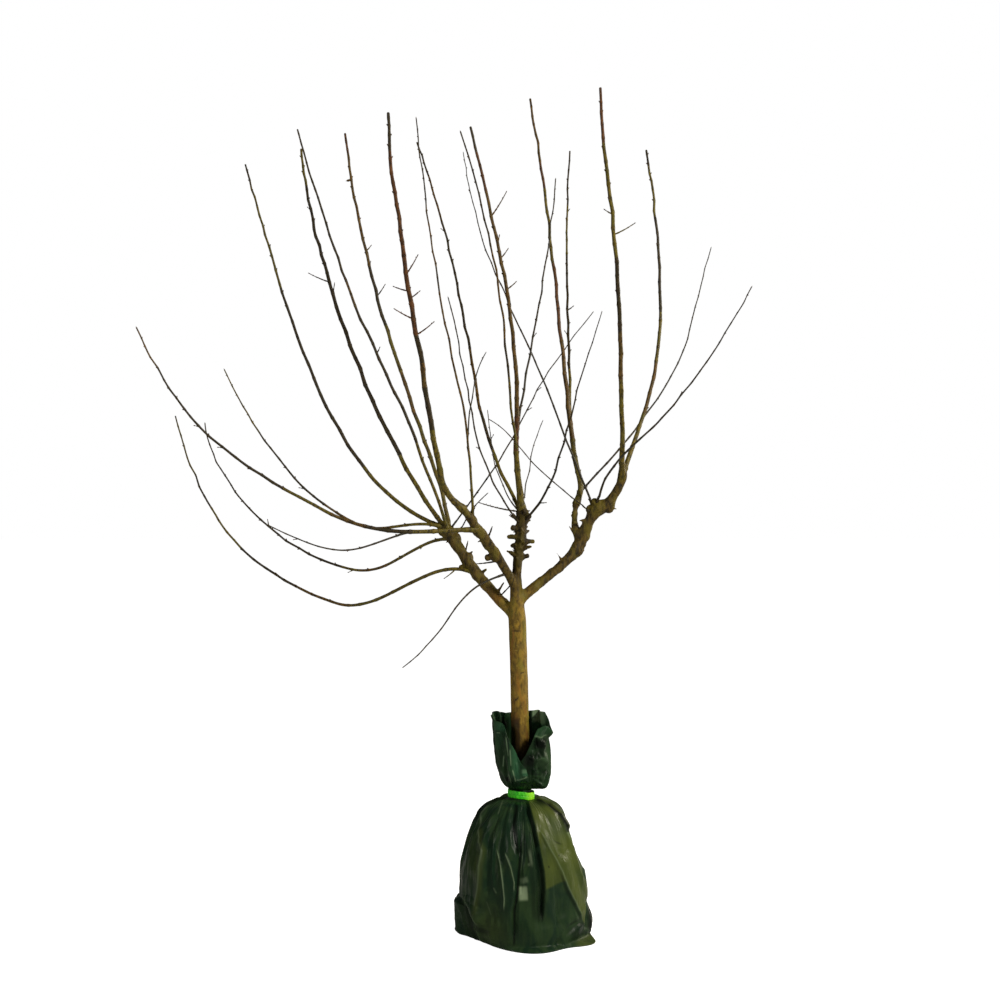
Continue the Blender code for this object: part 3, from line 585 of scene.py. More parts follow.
# ---------------------------------------------------------------- finishes

class Wiring:
    """Adds nodes to a tree and joins them in few words."""

    def __init__(self, tree: bpy.types.NodeTree) -> None:
        """Hold the tree to wire."""
        self.tree = tree

    def add(self, kind: str, ins: dict | None = None, **settings: object) -> bpy.types.Node:
        """Add a node.

        Args:
            kind: The node's type.
            ins: Values or output sockets for its inputs, by name or number.
            settings: The node's own properties.

        Returns:
            The new node.
        """
        node = self.tree.nodes.new(kind)
        for key, value in settings.items():
            setattr(node, key, value)
        for key, value in (ins or {}).items():
            if isinstance(value, bpy.types.NodeSocket):
                self.tree.links.new(value, node.inputs[key])
            else:
                node.inputs[key].default_value = value
        return node

    def math(self, how: str, one: object, two: object = 0.5) -> bpy.types.NodeSocket:
        """A sum on two values; returns its result."""
        return self.add("ShaderNodeMath", {0: one, 1: two}, operation=how).outputs[0]

    def ramp(self, value: bpy.types.NodeSocket, low: float, high: float) -> bpy.types.NodeSocket:
        """A smooth ramp of a value between two limits; returns 0 to 1."""
        ins = {"Value": value, "From Min": low, "From Max": high}
        return self.add("ShaderNodeMapRange", ins, interpolation_type="SMOOTHSTEP").outputs[0]

    def mix(self, share: object, one: object, two: object) -> bpy.types.NodeSocket:
        """A mix of two colours, with a share of the second; returns the colour."""
        ins = {0: share, 6: one, 7: two}
        return self.add("ShaderNodeMix", ins, data_type="RGBA").outputs[2]

    def kept(self, name: str) -> bpy.types.NodeSocket:
        """A number that the mesh keeps for each vertex; returns its value."""
        return self.add("ShaderNodeAttribute", attribute_name=name).outputs["Fac"]

    def noise(self, place: bpy.types.NodeSocket, scale: tuple, detail: float = 3.0,
              warp: float = 0.0) -> bpy.types.NodeSocket:
        """Noise on stretched places.

        Args:
            place: The places.
            scale: How fine it is along each axis.
            detail: How many finer layers it has.
            warp: How far it is distorted.

        Returns:
            The noise value.
        """
        mapped = self.add("ShaderNodeMapping", {"Vector": place, "Scale": scale}).outputs[0]
        ins = {"Vector": mapped, "Scale": 1.0, "Detail": detail, "Distortion": warp}
        return self.add("ShaderNodeTexNoise", ins).outputs["Fac"]


def tint(red: float, green: float, blue: float) -> tuple:
    """A colour from screen values of 0 to 255.

    Args:
        red: The red value.
        green: The green value.
        blue: The blue value.

    Returns:
        The linear colour with full alpha.
    """
    def line(value: float) -> float:
        """One channel in linear light."""
        part = value / 255
        return part / 12.92 if part <= 0.04045 else ((part + 0.055) / 1.055) ** 2.4
    return (line(red), line(green), line(blue), 1.0)


def new_group(name: str, ins: dict, outs: tuple) -> tuple:
    """Start a node group.

    Args:
        name: The group's name.
        ins: Its number inputs and their usual values.
        outs: The names of its number outputs.

    Returns:
        The tree, its wiring, its input node and its output node.
    """
    tree = bpy.data.node_groups.new(name, "ShaderNodeTree")
    for key, value in ins.items():
        socket = tree.interface.new_socket(key, in_out="INPUT", socket_type="NodeSocketFloat")
        socket.default_value = value
    for key in outs:
        tree.interface.new_socket(key, in_out="OUTPUT", socket_type="NodeSocketFloat")
    wiring = Wiring(tree)
    return tree, wiring, wiring.add("NodeGroupInput"), wiring.add("NodeGroupOutput")


def start_finish(name: str) -> tuple:
    """Start a material.

    Args:
        name: The material's name.

    Returns:
        The material, its wiring and its shader.
    """
    finish = bpy.data.materials.new(name)
    finish.use_nodes = True
    return finish, Wiring(finish.node_tree), finish.node_tree.nodes["Principled BSDF"]


def bark_pattern() -> bpy.types.NodeTree:
    """Streaks, patches, flecks and relief of young bark, as a node group.

    Returns:
        The node group.
    """
    tree, wire, given, made = new_group(
        "bark_pattern", {"Fineness": 1.0}, ("Streaks", "Patches", "Flecks", "Relief"))
    place = wire.add("ShaderNodeTexCoord").outputs["Object"]
    sized = wire.add("ShaderNodeVectorMath", {0: place, 3: given.outputs["Fineness"]},
                     operation="SCALE").outputs[0]
    streaks = wire.noise(sized, (120.0, 120.0, 52.0), 5.0, 0.6)
    patches = wire.noise(sized, (34.0, 34.0, 16.0), 4.0, 0.4)
    dashes = wire.noise(sized, (110.0, 110.0, 620.0), 2.0)
    fine = wire.noise(sized, (420.0, 420.0, 190.0), 4.0)
    flecks = wire.ramp(dashes, 0.64, 0.72)
    relief = wire.math("ADD", wire.math("MULTIPLY", streaks, 0.6), wire.math("MULTIPLY", fine, 0.4))
    relief = wire.math("ADD", relief, wire.math("MULTIPLY", flecks, 0.35))
    for key, socket in (("Streaks", wire.ramp(streaks, 0.30, 0.70)),
                        ("Patches", wire.ramp(patches, 0.44, 0.62)),
                        ("Flecks", flecks), ("Relief", relief)):
        tree.links.new(socket, made.inputs[key])
    return tree


def film_pattern() -> bpy.types.NodeTree:
    """Clouding and fine creases of thin film, as a node group.

    Returns:
        The node group.
    """
    tree, wire, given, made = new_group("film_pattern", {"Fineness": 1.0},
                                        ("Cloud", "Dust", "Creases"))
    place = wire.add("ShaderNodeTexCoord").outputs["Object"]
    sized = wire.add("ShaderNodeVectorMath", {0: place, 3: given.outputs["Fineness"]},
                     operation="SCALE").outputs[0]
    cloud = wire.noise(sized, (22.0, 22.0, 9.0), 4.0, 1.2)
    folds = wire.noise(sized, (44.0, 44.0, 20.0), 2.0, 0.9)
    crisp = wire.math("ABSOLUTE", wire.math("SUBTRACT", folds, 0.5))
    small = wire.noise(sized, (190.0, 190.0, 60.0), 3.0, 1.0)
    creases = wire.math("ADD", wire.math("MULTIPLY", crisp, 2.2),
                        wire.math("MULTIPLY", small, 0.25))
    dust = wire.ramp(wire.noise(sized, (70.0, 70.0, 30.0), 5.0, 0.6), 0.50, 0.80)
    for key, socket in (("Cloud", wire.ramp(cloud, 0.35, 0.65)), ("Dust", dust),
                        ("Creases", creases)):
        tree.links.new(socket, made.inputs[key])
    return tree


@dataclass(frozen=True)
class BarkFinish:
    """Bark: its streaks between two tones, moss patches, pale flecks and relief."""

    name: str
    dark: tuple
    light: tuple
    moss: tuple
    fleck: tuple
    moss_share: float = 0.6
    fleck_share: float = 0.5
    roughness: float = 0.62
    fineness: float = 1.0
    depth: float = 0.0007

    def start(self, pattern: bpy.types.NodeTree) -> tuple:
        """Make the material and its colour.

        Args:
            pattern: The bark group.

        Returns:
            The material, its wiring, its shader, the group node and the colour socket.
        """
        finish, wire, shader = start_finish(self.name)
        grain = wire.add("ShaderNodeGroup", node_tree=pattern)
        grain.inputs["Fineness"].default_value = self.fineness
        colour = wire.mix(grain.outputs["Streaks"], self.dark, self.light)
        moss = wire.math("MULTIPLY", grain.outputs["Patches"], self.moss_share)
        colour = wire.mix(moss, colour, self.moss)
        fleck = wire.math("MULTIPLY", grain.outputs["Flecks"], self.fleck_share)
        colour = wire.mix(fleck, colour, self.fleck)
        bump = wire.add("ShaderNodeBump", {"Strength": 1.0, "Distance": self.depth,
                                           "Height": grain.outputs["Relief"]})
        finish.node_tree.links.new(bump.outputs[0], shader.inputs["Normal"])
        shader.inputs["Roughness"].default_value = self.roughness
        shader.inputs["Specular IOR Level"].default_value = 0.18
        return finish, wire, shader, grain, colour

    def build(self, pattern: bpy.types.NodeTree) -> bpy.types.Material:
        """Make the material.

        Args:
            pattern: The bark pattern group.

        Returns:
            The material.
        """
        finish, wire, shader, _, colour = self.start(pattern)
        finish.node_tree.links.new(colour, shader.inputs["Base Color"])
        return finish


@dataclass(frozen=True)
class StemFinish(BarkFinish):
    """The trunk's bark, golden below and dark and mossy on the boughs, with scars and painted shade.
    """

    bough_dark: tuple = (0.02, 0.015, 0.01, 1.0)
    bough_light: tuple = (0.1, 0.08, 0.03, 1.0)
    bough_moss: tuple = (0.08, 0.06, 0.02, 1.0)
    # foot: the painted shade colour for the trunk low down inside the collar
    foot: tuple = (0.04, 0.03, 0.01, 1.0)
    # scar: the colour of scars, the rough dark leader bark and painted shadow
    scar_and_shade: tuple = (0.01, 0.008, 0.005, 1.0)
    rust: tuple = (0.2, 0.07, 0.01, 1.0)
    change_low: float = 0.80
    change_high: float = 0.90
    collar_shade_low: float = 0.45
    collar_shade_high: float = 0.53
    bough_moss_share: float = 0.70
    rust_share: float = 0.5
    collar_shade_share: float = 0.8

    def build(self, pattern: bpy.types.NodeTree) -> bpy.types.Material:
        """Make the material.

        Args:
            pattern: The bark pattern group.

        Returns:
            The material.
        """
        finish, wire, shader, grain, colour = self.start(pattern)
        upper = wire.mix(grain.outputs["Streaks"], self.bough_dark, self.bough_light)
        moss = wire.math("MULTIPLY", grain.outputs["Patches"], self.bough_moss_share)
        upper = wire.mix(moss, upper, self.bough_moss)
        place = wire.add("ShaderNodeTexCoord").outputs["Object"]
        height = wire.add("ShaderNodeSeparateXYZ", {0: place}).outputs[2]
        change = wire.ramp(height, self.change_low, self.change_high)
        rusty = wire.ramp(wire.noise(place, (34.0, 34.0, 11.0), 3.0, 0.5), 0.53, 0.66)
        colour = wire.mix(wire.math("MULTIPLY", rusty, self.rust_share), colour, self.rust)
        colour = wire.mix(change, colour, upper)
        # painted shade: the trunk darkens low down inside the collar, where its flaps would shade it
        collar_shade = wire.math("SUBTRACT", 1.0, wire.ramp(height, self.collar_shade_low, self.collar_shade_high))
        colour = wire.mix(wire.math("MULTIPLY", collar_shade, self.collar_shade_share), colour, self.foot)
        # scars, rough leader bark and painted shadow, from the kept mask
        colour = wire.mix(wire.kept("scar_and_shade"), colour, self.scar_and_shade)
        finish.node_tree.links.new(colour, shader.inputs["Base Color"])
        return finish


@dataclass(frozen=True)
class FilmFinish:
    """Glossy thin film: deep on the soil, paler where lit through, with painted shade and
    highlights.
    """

    name: str
    deep: tuple
    cloud: tuple
    # thin: paler film where it stands off the soil, also painted light on lit sides, facets and the
    # tape
    thin: tuple
    dust: tuple
    # pale patches, and painted highlights and painted light, mixed in by their kept mask
    warm: tuple
    roughness: float = 0.30
    rougher: float = 0.14
    specular: float = 0.07
    depth: float = 0.0003
    fineness: float = 1.0
    dust_share: float = 0.15
    # painted shade: near-black laid where the film should lie in shadow, in folds and corners
    painted_shade: tuple = (0.0018, 0.0034, 0.0020, 1.0)

    def build(self, pattern: bpy.types.NodeTree) -> bpy.types.Material:
        """Make the material.

        Args:
            pattern: The film pattern group.

        Returns:
            The material.
        """
        finish, wire, shader = start_finish(self.name)
        film = wire.add("ShaderNodeGroup", node_tree=pattern)
        film.inputs["Fineness"].default_value = self.fineness
        colour = wire.mix(film.outputs["Cloud"], self.deep, self.cloud)
        # paler film and painted light, from the kept thin mask
        colour = wire.mix(wire.kept("thin"), colour, self.thin)
        # pale patches and painted highlights, from their kept mask
        colour = wire.mix(wire.kept("warm"), colour, self.warm)
        dusty = wire.math("MULTIPLY", film.outputs["Dust"], self.dust_share)
        colour = wire.mix(dusty, colour, self.dust)
        # painted shade, where the kept shade mask says
        colour = wire.mix(wire.kept("shade"), colour, self.painted_shade)
        finish.node_tree.links.new(colour, shader.inputs["Base Color"])
        rough = wire.math("MULTIPLY_ADD", film.outputs["Cloud"], self.rougher)
        rough.node.inputs[2].default_value = self.roughness
        finish.node_tree.links.new(rough, shader.inputs["Roughness"])
        bump = wire.add("ShaderNodeBump", {"Strength": 1.0, "Distance": self.depth,
                                           "Height": film.outputs["Creases"]})
        finish.node_tree.links.new(bump.outputs[0], shader.inputs["Normal"])
        shader.inputs["Specular IOR Level"].default_value = self.specular
        return finish


class Tone(Enum):
    """The plain bark tones that are dealt out to the shoots."""

    OLIVE = 0
    BROWN = 1
    RUSSET = 2
    DARK = 3
    SLATE = 4


@dataclass(frozen=True)
class Finishes:
    """Every finish of the plant, built once."""

    stem: bpy.types.Material
    shoots: tuple
    bud: bpy.types.Material
    bag: bpy.types.Material
    collar: bpy.types.Material
    tape: bpy.types.Material


def make_finishes() -> Finishes:
    """Build the node groups and the materials.

    Returns:
        The finishes.
    """
    bark, film = bark_pattern(), film_pattern()
    stem = StemFinish(
        "young_bark", tint(76, 59, 19), tint(127, 101, 33), tint(98, 93, 26), tint(150, 134, 62),
        moss_share=0.55, bough_dark=tint(25, 19, 6), bough_light=tint(80, 64, 21),
        bough_moss=tint(88, 78, 20), foot=tint(56, 42, 14), scar_and_shade=tint(22, 16, 7),
        rust=tint(128, 84, 30))
    tones = {
        Tone.OLIVE: (tint(36, 31, 9), tint(97, 83, 25), tint(82, 79, 22)),
        Tone.BROWN: (tint(34, 25, 9), tint(93, 68, 26), tint(68, 58, 21)),
        Tone.RUSSET: (tint(36, 22, 11), tint(92, 57, 27), tint(66, 45, 21)),
        Tone.DARK: (tint(24, 20, 11), tint(56, 45, 24), tint(46, 42, 20)),
        Tone.SLATE: (tint(24, 22, 16), tint(52, 47, 34), tint(42, 40, 26)),
    }
    shoots = tuple(
        BarkFinish(f"shoot_bark_{tone.name.lower()}", *tones[tone], tint(104, 90, 62),
                   moss_share=0.4, fleck_share=0.25, roughness=0.5, fineness=1.6,
                   depth=0.0004).build(bark)
        for tone in Tone)
    bud = BarkFinish("bud_scales", tint(38, 26, 16), tint(76, 50, 28), tint(52, 36, 22),
                     tint(104, 84, 58), roughness=0.45, fineness=2.2, depth=0.0003).build(bark)
    bag = FilmFinish("bag_film", tint(19, 37, 24), tint(33, 50, 28), tint(64, 73, 31),
                     tint(54, 62, 36), tint(126, 142, 112), dust_share=0.08).build(film)
    collar = FilmFinish("bag_collar_film", tint(18, 36, 21), tint(31, 53, 29), tint(38, 74, 50),
                        tint(54, 66, 42), tint(116, 138, 108), fineness=1.4,
                        dust_share=0.08).build(film)
    tape = FilmFinish("tape_film", tint(36, 160, 22), tint(64, 186, 30), tint(140, 214, 36),
                      tint(150, 210, 90), tint(150, 210, 90), specular=0.3,
                      fineness=3.0).build(film)
    return Finishes(stem.build(bark), shoots, bud, bag, collar, tape)


# ---------------------------------------------------------------- trunk and boughs

def all_courses() -> dict:
    """The centre line of the trunk, each bough and each shoot, by name.

    Returns:
        The courses by limb name.
    """
    foot = Vector((NECK_ASIDE, 0.0, NECK_HEIGHT + GAP))
    courses = {TRUNK.name: Course(foot, TRUNK.leave, TRUNK.stops)}
    for limb in BOUGHS + SHOOTS:
        start = courses[limb.parent].place(limb.at) + Vector((0, limb.foot_back, 0))
        courses[limb.name] = Course(start, limb.leave, limb.stops)
    return courses


@dataclass
class Wood:
    """The trunk and boughs in one mesh: blended crotches, cut stubs, knobs and bark relief."""

    finish: bpy.types.Material
    courses: dict
    ring_step: float = 0.005
    sides: int = 24
    voxel: float = 0.0017
    stub_girth: float = 6.0
    club_girth: float = 10.5
    crotch_reach: float = 0.026
    small_knobs: int = 46
    rough_leader: float = 0.45
    # how dark the painted shadow on the trunk's left inside the collar is
    left_collar_shadow: float = 0.82
    # limb, share of its length, girth in mm, half length, and shift right and up in mm
    swellings: tuple = (
        ("bough_left_low", 0.93, 36, 0.030, 0, 0), ("bough_left_low", 0.86, 32, 0.016, 6, 0),
        ("bough_left_low", 0.98, 30, 0.016, -3, -7), ("bough_left_low", 0.47, 27, 0.016, -7, 4),
        ("bough_left_low", 0.66, 25, 0.012, 7, 4), ("leader", 0.93, 28, 0.020, 2, 0),
        ("leader", 0.86, 24, 0.014, 6, 0), ("leader", 0.70, 26, 0.012, -4, 0),
        ("leader", 0.55, 25, 0.014, 1, 0), ("bough_left_high", 0.86, 25, 0.018, 0, 4),
        ("bough_left_high", 0.72, 28, 0.022, -2, 0), ("bough_left_high", 0.40, 24, 0.012, -5, -3),
        ("bough_right_upper", 0.46, 38, 0.024, 0, 0), ("bough_right_upper", 0.36, 26, 0.012, -9, 6),
        ("bough_right_upper", 0.45, 24, 0.010, -12, 14),
        ("bough_right_upper", 0.55, 24, 0.012, 10, -10),
        ("bough_right_upper", 0.58, 26, 0.014, 5, -6), ("bough_right_upper", 1.0, 24, 0.018, 0, 0),
        ("bough_right", 0.97, 28, 0.018, 4, 0), ("bough_right", 0.82, 26, 0.016, 6, -4),
        ("bough_right_upper", 0.10, 26, 0.014, 4, 0), ("bough_right_inner", 0.98, 19, 0.012, 0, 0))
    # right, up, half width, half height and lean
    scars: tuple = ((-0.0175, 0.759, 0.0100, 0.0016, 0.0), (-0.0170, 0.589, 0.0060, 0.0018, 0.7),
                    (-0.0020, 0.655, 0.0050, 0.0014, 0.2))

    def limb_tube(self, skin: Skin, limb: Limb) -> None:
        """Sweep one limb with uneven girth and a collar where it leaves its parent.

        Args:
            skin: The mesh in the making.
            limb: The limb.
        """
        course = self.courses[limb.name]
        rule = random.Random(f"{SEED} {limb.name} bark")
        phase = [rule.uniform(0, 6.28) for _ in range(4)]
        rings = max(8, round(course.length / self.ring_step))
        shares = np.linspace(0.0, 1.0, rings + 1)
        along = shares * course.length
        places = np.array([course.place(share) for share in shares])
        radii = np.array([limb.radius(share) for share in shares])
        if limb.parent:
            rise = 0.5 * MM * (30 if limb.parent == "trunk" else 20)
            radii = radii * (1 + 0.16 * np.exp(-np.clip(along - rise, 0, None) / 0.014))
            wave = 0.045
        else:
            wave = 0.010
        angles = np.arange(self.sides) * 2 * math.pi / self.sides
        lumps = 1 + wave * np.sin(along[:, None] * 95 + phase[0] + 1.6 * np.sin(angles + phase[1]))
        lumps += wave * np.sin(2 * angles[None] + along[:, None] * 31 + phase[2])
        lumps += 0.5 * wave * np.sin(3 * angles[None] - along[:, None] * 57 + phase[3])
        for _ in range(round(course.length / 0.012) if limb.parent else 0):
            at, turn = rule.uniform(0.1, 1.0) * course.length, rule.uniform(0, 2 * math.pi)
            near = hump(along, at, rule.uniform(0.005, 0.011))[:, None]
            lumps += rule.uniform(-0.06, 0.15) * near * hump(turn_off(angles, turn), 0, 0.8)[None]
        skin.add_tube(places, radii, self.sides, 0, lumps)

    def stub(self, skin: Skin, foot: Vector, way: Vector, length: float, girth: float,
             rule: random.Random) -> None:
        """Add a pruned stub or knob: thick at its foot, uneven, healed over at its cut end.

        Args:
            skin: The mesh in the making.
            foot: Where it stands.
            way: The way it points.
            length: Its length.
            girth: Its thickness at the foot.
            rule: Its seeded draws.
        """
        bend = Vector([rule.uniform(-1, 1) for _ in range(3)]) * length * 0.10
        shares = (0.0, 0.35, 0.6, 0.8, 1.0)
        club = rule.uniform(0.9, 1.25) if girth >= self.club_girth else rule.uniform(0.35, 0.75)
        factors = (2.0, 1.6, 1.05, 0.5 + 0.5 * club, club)
        places = [foot + way * length * share + bend * math.sin(math.pi * share) for share in shares]
        radii = [0.5 * MM * girth * factor for factor in factors]
        skin.add_tube(np.array(places), np.array(radii), 12)

    def knobs(self, skin: Skin, limb: Limb) -> None:
        """Add the limb's own stubs, then small seeded knobs round it.

        Args:
            skin: The mesh in the making.
            limb: The limb.
        """
        course = self.courses[limb.name]
        rule = random.Random(f"{SEED} {limb.name} knobs")
        for spur in limb.spurs:
            if spur.girth >= self.stub_girth:
                self.stub(skin, course.place(spur.at), spur.heading.vector().normalized(),
                          spur.length, spur.girth, rule)
        many = self.small_knobs if limb.name == "leader" else round(course.length * 60)
        for _ in range(many):
            at = rule.uniform(0.36, 0.98) if limb.name == "leader" else rule.uniform(0.12, 0.97)
            turn = rule.uniform(0, 2 * math.pi)
            rise = rule.uniform(-0.1, 0.7)
            way = Vector((math.cos(turn), math.sin(turn), rise)).normalized()
            limits = (0.001, 0.0085) if limb.name == "leader" else (0.0, 0.0032)
            proud = rule.uniform(*limits)
            length = limb.radius(at) + proud
            self.stub(skin, course.place(at), way, length, rule.uniform(5.0, 10.0), rule)

    def heads(self, skin: Skin) -> None:
        """Thicken the fists that the shoots spring from.

        Args:
            skin: The mesh in the making.
        """
        for name, at, girth, reach, right, up in self.swellings:
            course = self.courses[name]
            middle = course.place(at) + Vector((right, 0, up)) * MM
            way = course.heading(min(at, 0.98))
            shares = np.linspace(-1, 1, 7)
            places = np.array([middle + way * reach * share for share in shares])
            radii = 0.5 * MM * girth * (1 - 0.45 * shares ** 2)
            skin.add_tube(places, radii, 16)

    def relief(self, mesh: bpy.types.Mesh) -> None:
        """Press the bark's relief and scars into the mesh and note the scars and the painted shadow.

        Args:
            mesh: The finished wood mesh.
        """
        places, normals = places_of(mesh), places_of(mesh, "normal")
        lift = np.empty(len(places))
        for index, (x, y, z) in enumerate(places):
            upper = min(max((z - 0.79) / 0.10, 0.0), 1.0)
            streak = noise.noise((x * 130, y * 130, z * 24))
            lump = noise.noise((x * 52 + 5, y * 52, z * 40))
            ring = noise.noise((x * 34, y * 34, z * 330 + 9))
            crack = abs(noise.noise((x * 160, y * 160, z * 46 + 3)))
            smooth_bark = 0.00040 * lump + 0.00022 * streak + 0.00022 * max(ring - 0.15, 0)
            rough_bark = 0.0018 * lump + 0.0007 * streak - 0.0012 * (0.25 - min(crack, 0.25)) * 2
            lift[index] = smooth_bark * (1 - upper) + rough_bark * upper
        scar_and_shade = np.zeros(len(places))
        front = places[:, 1] < 0
        for x, z, wide, tall, lean in self.scars:
            off_x, off_z = places[:, 0] - x, places[:, 2] - z
            run = off_x * math.cos(lean) + off_z * math.sin(lean)
            rise = off_z * math.cos(lean) - off_x * math.sin(lean)
            scar_and_shade = np.maximum(scar_and_shade, np.exp(-(run / wide) ** 4 - (rise / tall) ** 2) * front)
        lift -= 0.0008 * scar_and_shade
        # painted shadow: the trunk's left side inside the collar, darkened where the flaps would
        # shade it
        left_collar_shadow = 1 - smooth_step(places[:, 2], 0.530, 0.565)
        left_collar_shadow = left_collar_shadow * (1 - smooth_step(places[:, 0], -0.0105, -0.0050))
        leader = self.courses["leader"]
        line = np.array([leader.place(share) for share in np.linspace(0.40, 0.98, 24)])
        away = np.linalg.norm(places[:, None, :] - line[None], axis=2).min(axis=1)
        scar_and_shade = np.maximum(scar_and_shade, self.rough_leader * (1 - smooth_step(away, 0.022, 0.036)))
        note(mesh, "scar_and_shade", np.maximum(scar_and_shade, self.left_collar_shadow * left_collar_shadow))
        move_to(mesh, places + normals * lift[:, None])

    def build(self) -> bpy.types.Object:
        """Make the trunk and boughs.

        Returns:
            The wood piece.
        """
        skin = Skin()
        self.limb_tube(skin, TRUNK)
        for limb in BOUGHS:
            self.limb_tube(skin, limb)
            self.knobs(skin, limb)
        self.heads(skin)
        item = skin.build("bark_wood")
        step = item.modifiers.new("fuse", "REMESH")
        step.mode = "VOXEL"
        step.voxel_size = self.voxel
        step.adaptivity = 0.0
        settle(item)
        mesh = item.data
        places = places_of(mesh)
        near = np.zeros(len(places))
        for limb in BOUGHS:
            parent = self.courses[limb.parent]
            joint = np.array(parent.place(limb.at))
            joint = joint + np.array(limb.leave.vector().normalized()) * 0.020
            away = np.linalg.norm(places - joint, axis=1)
            near = np.maximum(near, np.exp(-(away / self.crotch_reach) ** 2))
        relax(mesh, 0.5 * np.ones(len(places)), 3)
        relax(mesh, 0.6 * near, 22)
        self.relief(mesh)
        mesh.materials.clear()
        mesh.materials.append(self.finish)
        mesh.polygons.foreach_set("use_smooth", [True] * len(mesh.polygons))
        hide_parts(TRUNK.name, *[limb.name for limb in BOUGHS])
        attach(item, "root")
        return item


# ---------------------------------------------------------------- shoots

@dataclass
class Sprays:
    """The shoots of one part of the crown, in one mesh, with bud nodes, buds and side twigs."""

    name: str
    members: tuple
    finishes: Finishes
    courses: dict
    run_step: float = 0.058
    wander: float = 0.0018
    ring_step: float = 0.0055
    thin_girth: float = 6.1
    ruddy_members: tuple = ("shoot_front_tall", "shoot_right_tall", "shoot_right_inner",
                            "shoot_left_inner", "shoot_centre")
    thin_tones: tuple = (Tone.DARK, Tone.DARK, Tone.SLATE, Tone.SLATE)
    dark_tones: tuple = (Tone.DARK, Tone.DARK, Tone.DARK, Tone.OLIVE, Tone.BROWN)
    ruddy_tones: tuple = (Tone.RUSSET, Tone.RUSSET, Tone.BROWN, Tone.BROWN, Tone.DARK, Tone.OLIVE)
    node_gap: float = 0.042
    kink: float = 0.0019
    swell: tuple = (1.04, 0.00012)
    twig_swell: float = 1.25
    blunt_radius: float = 0.0018
    twig_odds: float = 0.04
    bud_odds: float = 0.70
    skin: Skin = field(default_factory=Skin)

    def tones(self, limb: Limb, rule: random.Random, shares: np.ndarray) -> np.ndarray:
        """Deal out the bark tones along a shoot: olive at a stout foot, then by its own palette.

        Args:
            limb: The shoot.
            rule: Its seeded draws.
            shares: The shares of its length, one a ring.

        Returns:
            The number of the tone of each ring.
        """
        ruddy = limb.name in self.ruddy_members
        thin = limb.girths[0][1] < self.thin_girth
        palette = self.ruddy_tones if ruddy else self.thin_tones if thin else self.dark_tones
        tones = np.full(len(shares), (Tone.DARK if thin else Tone.OLIVE).value)
        start = 0.03 if thin else rule.uniform(0.14, 0.26)
        while start < 1.0:
            tones[shares >= start] = rule.choice(palette).value
            start += rule.uniform(0.06, 0.20)
        return tones

    def bud(self, foot: np.ndarray, way: np.ndarray, size: float) -> None:
        """Add one pointed bud.

        Args:
            foot: Where it stands.
            way: The way it points.
            size: Its length.
        """
        steps = np.linspace(0, 1, 6)
        girth = np.array((0.62, 1.0, 1.05, 0.82, 0.48, 0.14)) * size * 0.27
        self.skin.add_tube(foot + way * (steps * size)[:, None], girth, 6, len(Tone))

    def side_twig(self, foot: np.ndarray, way: np.ndarray, turn: np.ndarray, length: float,
                  girth: float, tone: int, rule: random.Random) -> None:
        """Add a short side twig that bends up a little, with its own buds.

        Args:
            foot: Where it stands.
            way: The way it leaves.
            turn: The way it bends towards.
            length: Its length.
            girth: Its thickness in millimetres.
            tone: The number of its tone.
            rule: Its seeded draws.
        """
        steps = np.linspace(0, 1, max(5, round(length / 0.005)))
        curve = (steps - 0.5) ** 2 * 0.12 - 0.030
        places = foot + way * (steps * length)[:, None] + turn * (curve * length)[:, None]
        radii = 0.5 * MM * girth * self.twig_swell * (1.30 - 0.67 * steps)
        radii = radii * (1 + 0.22 * np.cos(steps * length / 0.0016))
        self.skin.add_tube(places, radii, 7, tone)
        end = places[-1] - places[-2]
        self.bud(places[-1], end / np.linalg.norm(end), 0.0048)
        for at in np.arange(0.010, length - 0.004, 0.011):
            spot = places[min(len(places) - 1, round(at / length * (len(places) - 1)))]
            out = np.array((rule.uniform(-1, 1), rule.uniform(-1, 1), rule.uniform(-0.3, 1)))
            out = way * 0.9 + out / np.linalg.norm(out)
            self.bud(spot, out / np.linalg.norm(out), 0.0040)

    def line(self, limb: Limb, course: Course) -> tuple:
        """The shoot's line with the seeded stray of the solids, carried to a finer step.

        Args:
            limb: The shoot.
            course: Its centre line.

        Returns:
            The shares of the length and the places there.
        """
        rule = random.Random(f"{SEED} {limb.name} {limb.at}")
        runs = max(3, round(course.length / self.run_step))
        strays = []
        for run in range(runs + 1):
            stray = Vector((rule.uniform(-1, 1), rule.uniform(-1, 1), 0)) * self.wander
            strays.append(np.array(stray * (min(run, runs - run, 2) / 2)))
        strays = np.array(strays)
        rings = max(10, round(course.length / self.ring_step))
        shares = np.linspace(0, 1, rings + 1)
        spots = shares * runs
        low = np.minimum(spots.astype(int), runs - 1)
        part = (spots - low)[:, None]
        part = part * 0.6 + part * part * (3 - 2 * part) * 0.4
        places = np.array([course.place(share) for share in shares])
        return shares, places + strays[low] * (1 - part) + strays[low + 1] * part

    def nodes(self, length: float, sunk: float, rule: random.Random) -> list:
        """Space out the bud nodes along a shoot, closer towards its tip.

        Args:
            length: The shoot's length.
            sunk: How much of its foot is inside its parent.
            rule: The shoot's seeded draws.

        Returns:
            Each node's distance from the foot and its turn round the shoot.
        """
        nodes, at, turn = [], sunk + rule.uniform(0.015, 0.03), rule.uniform(0, 6.28)
        while at < length - 0.008:
            nodes.append((at, turn))
            taper = 1.25 - 0.7 * at / length
            at += self.node_gap * taper * rule.uniform(0.75, 1.25)
            turn += math.pi + rule.uniform(-0.5, 0.5)
        return nodes

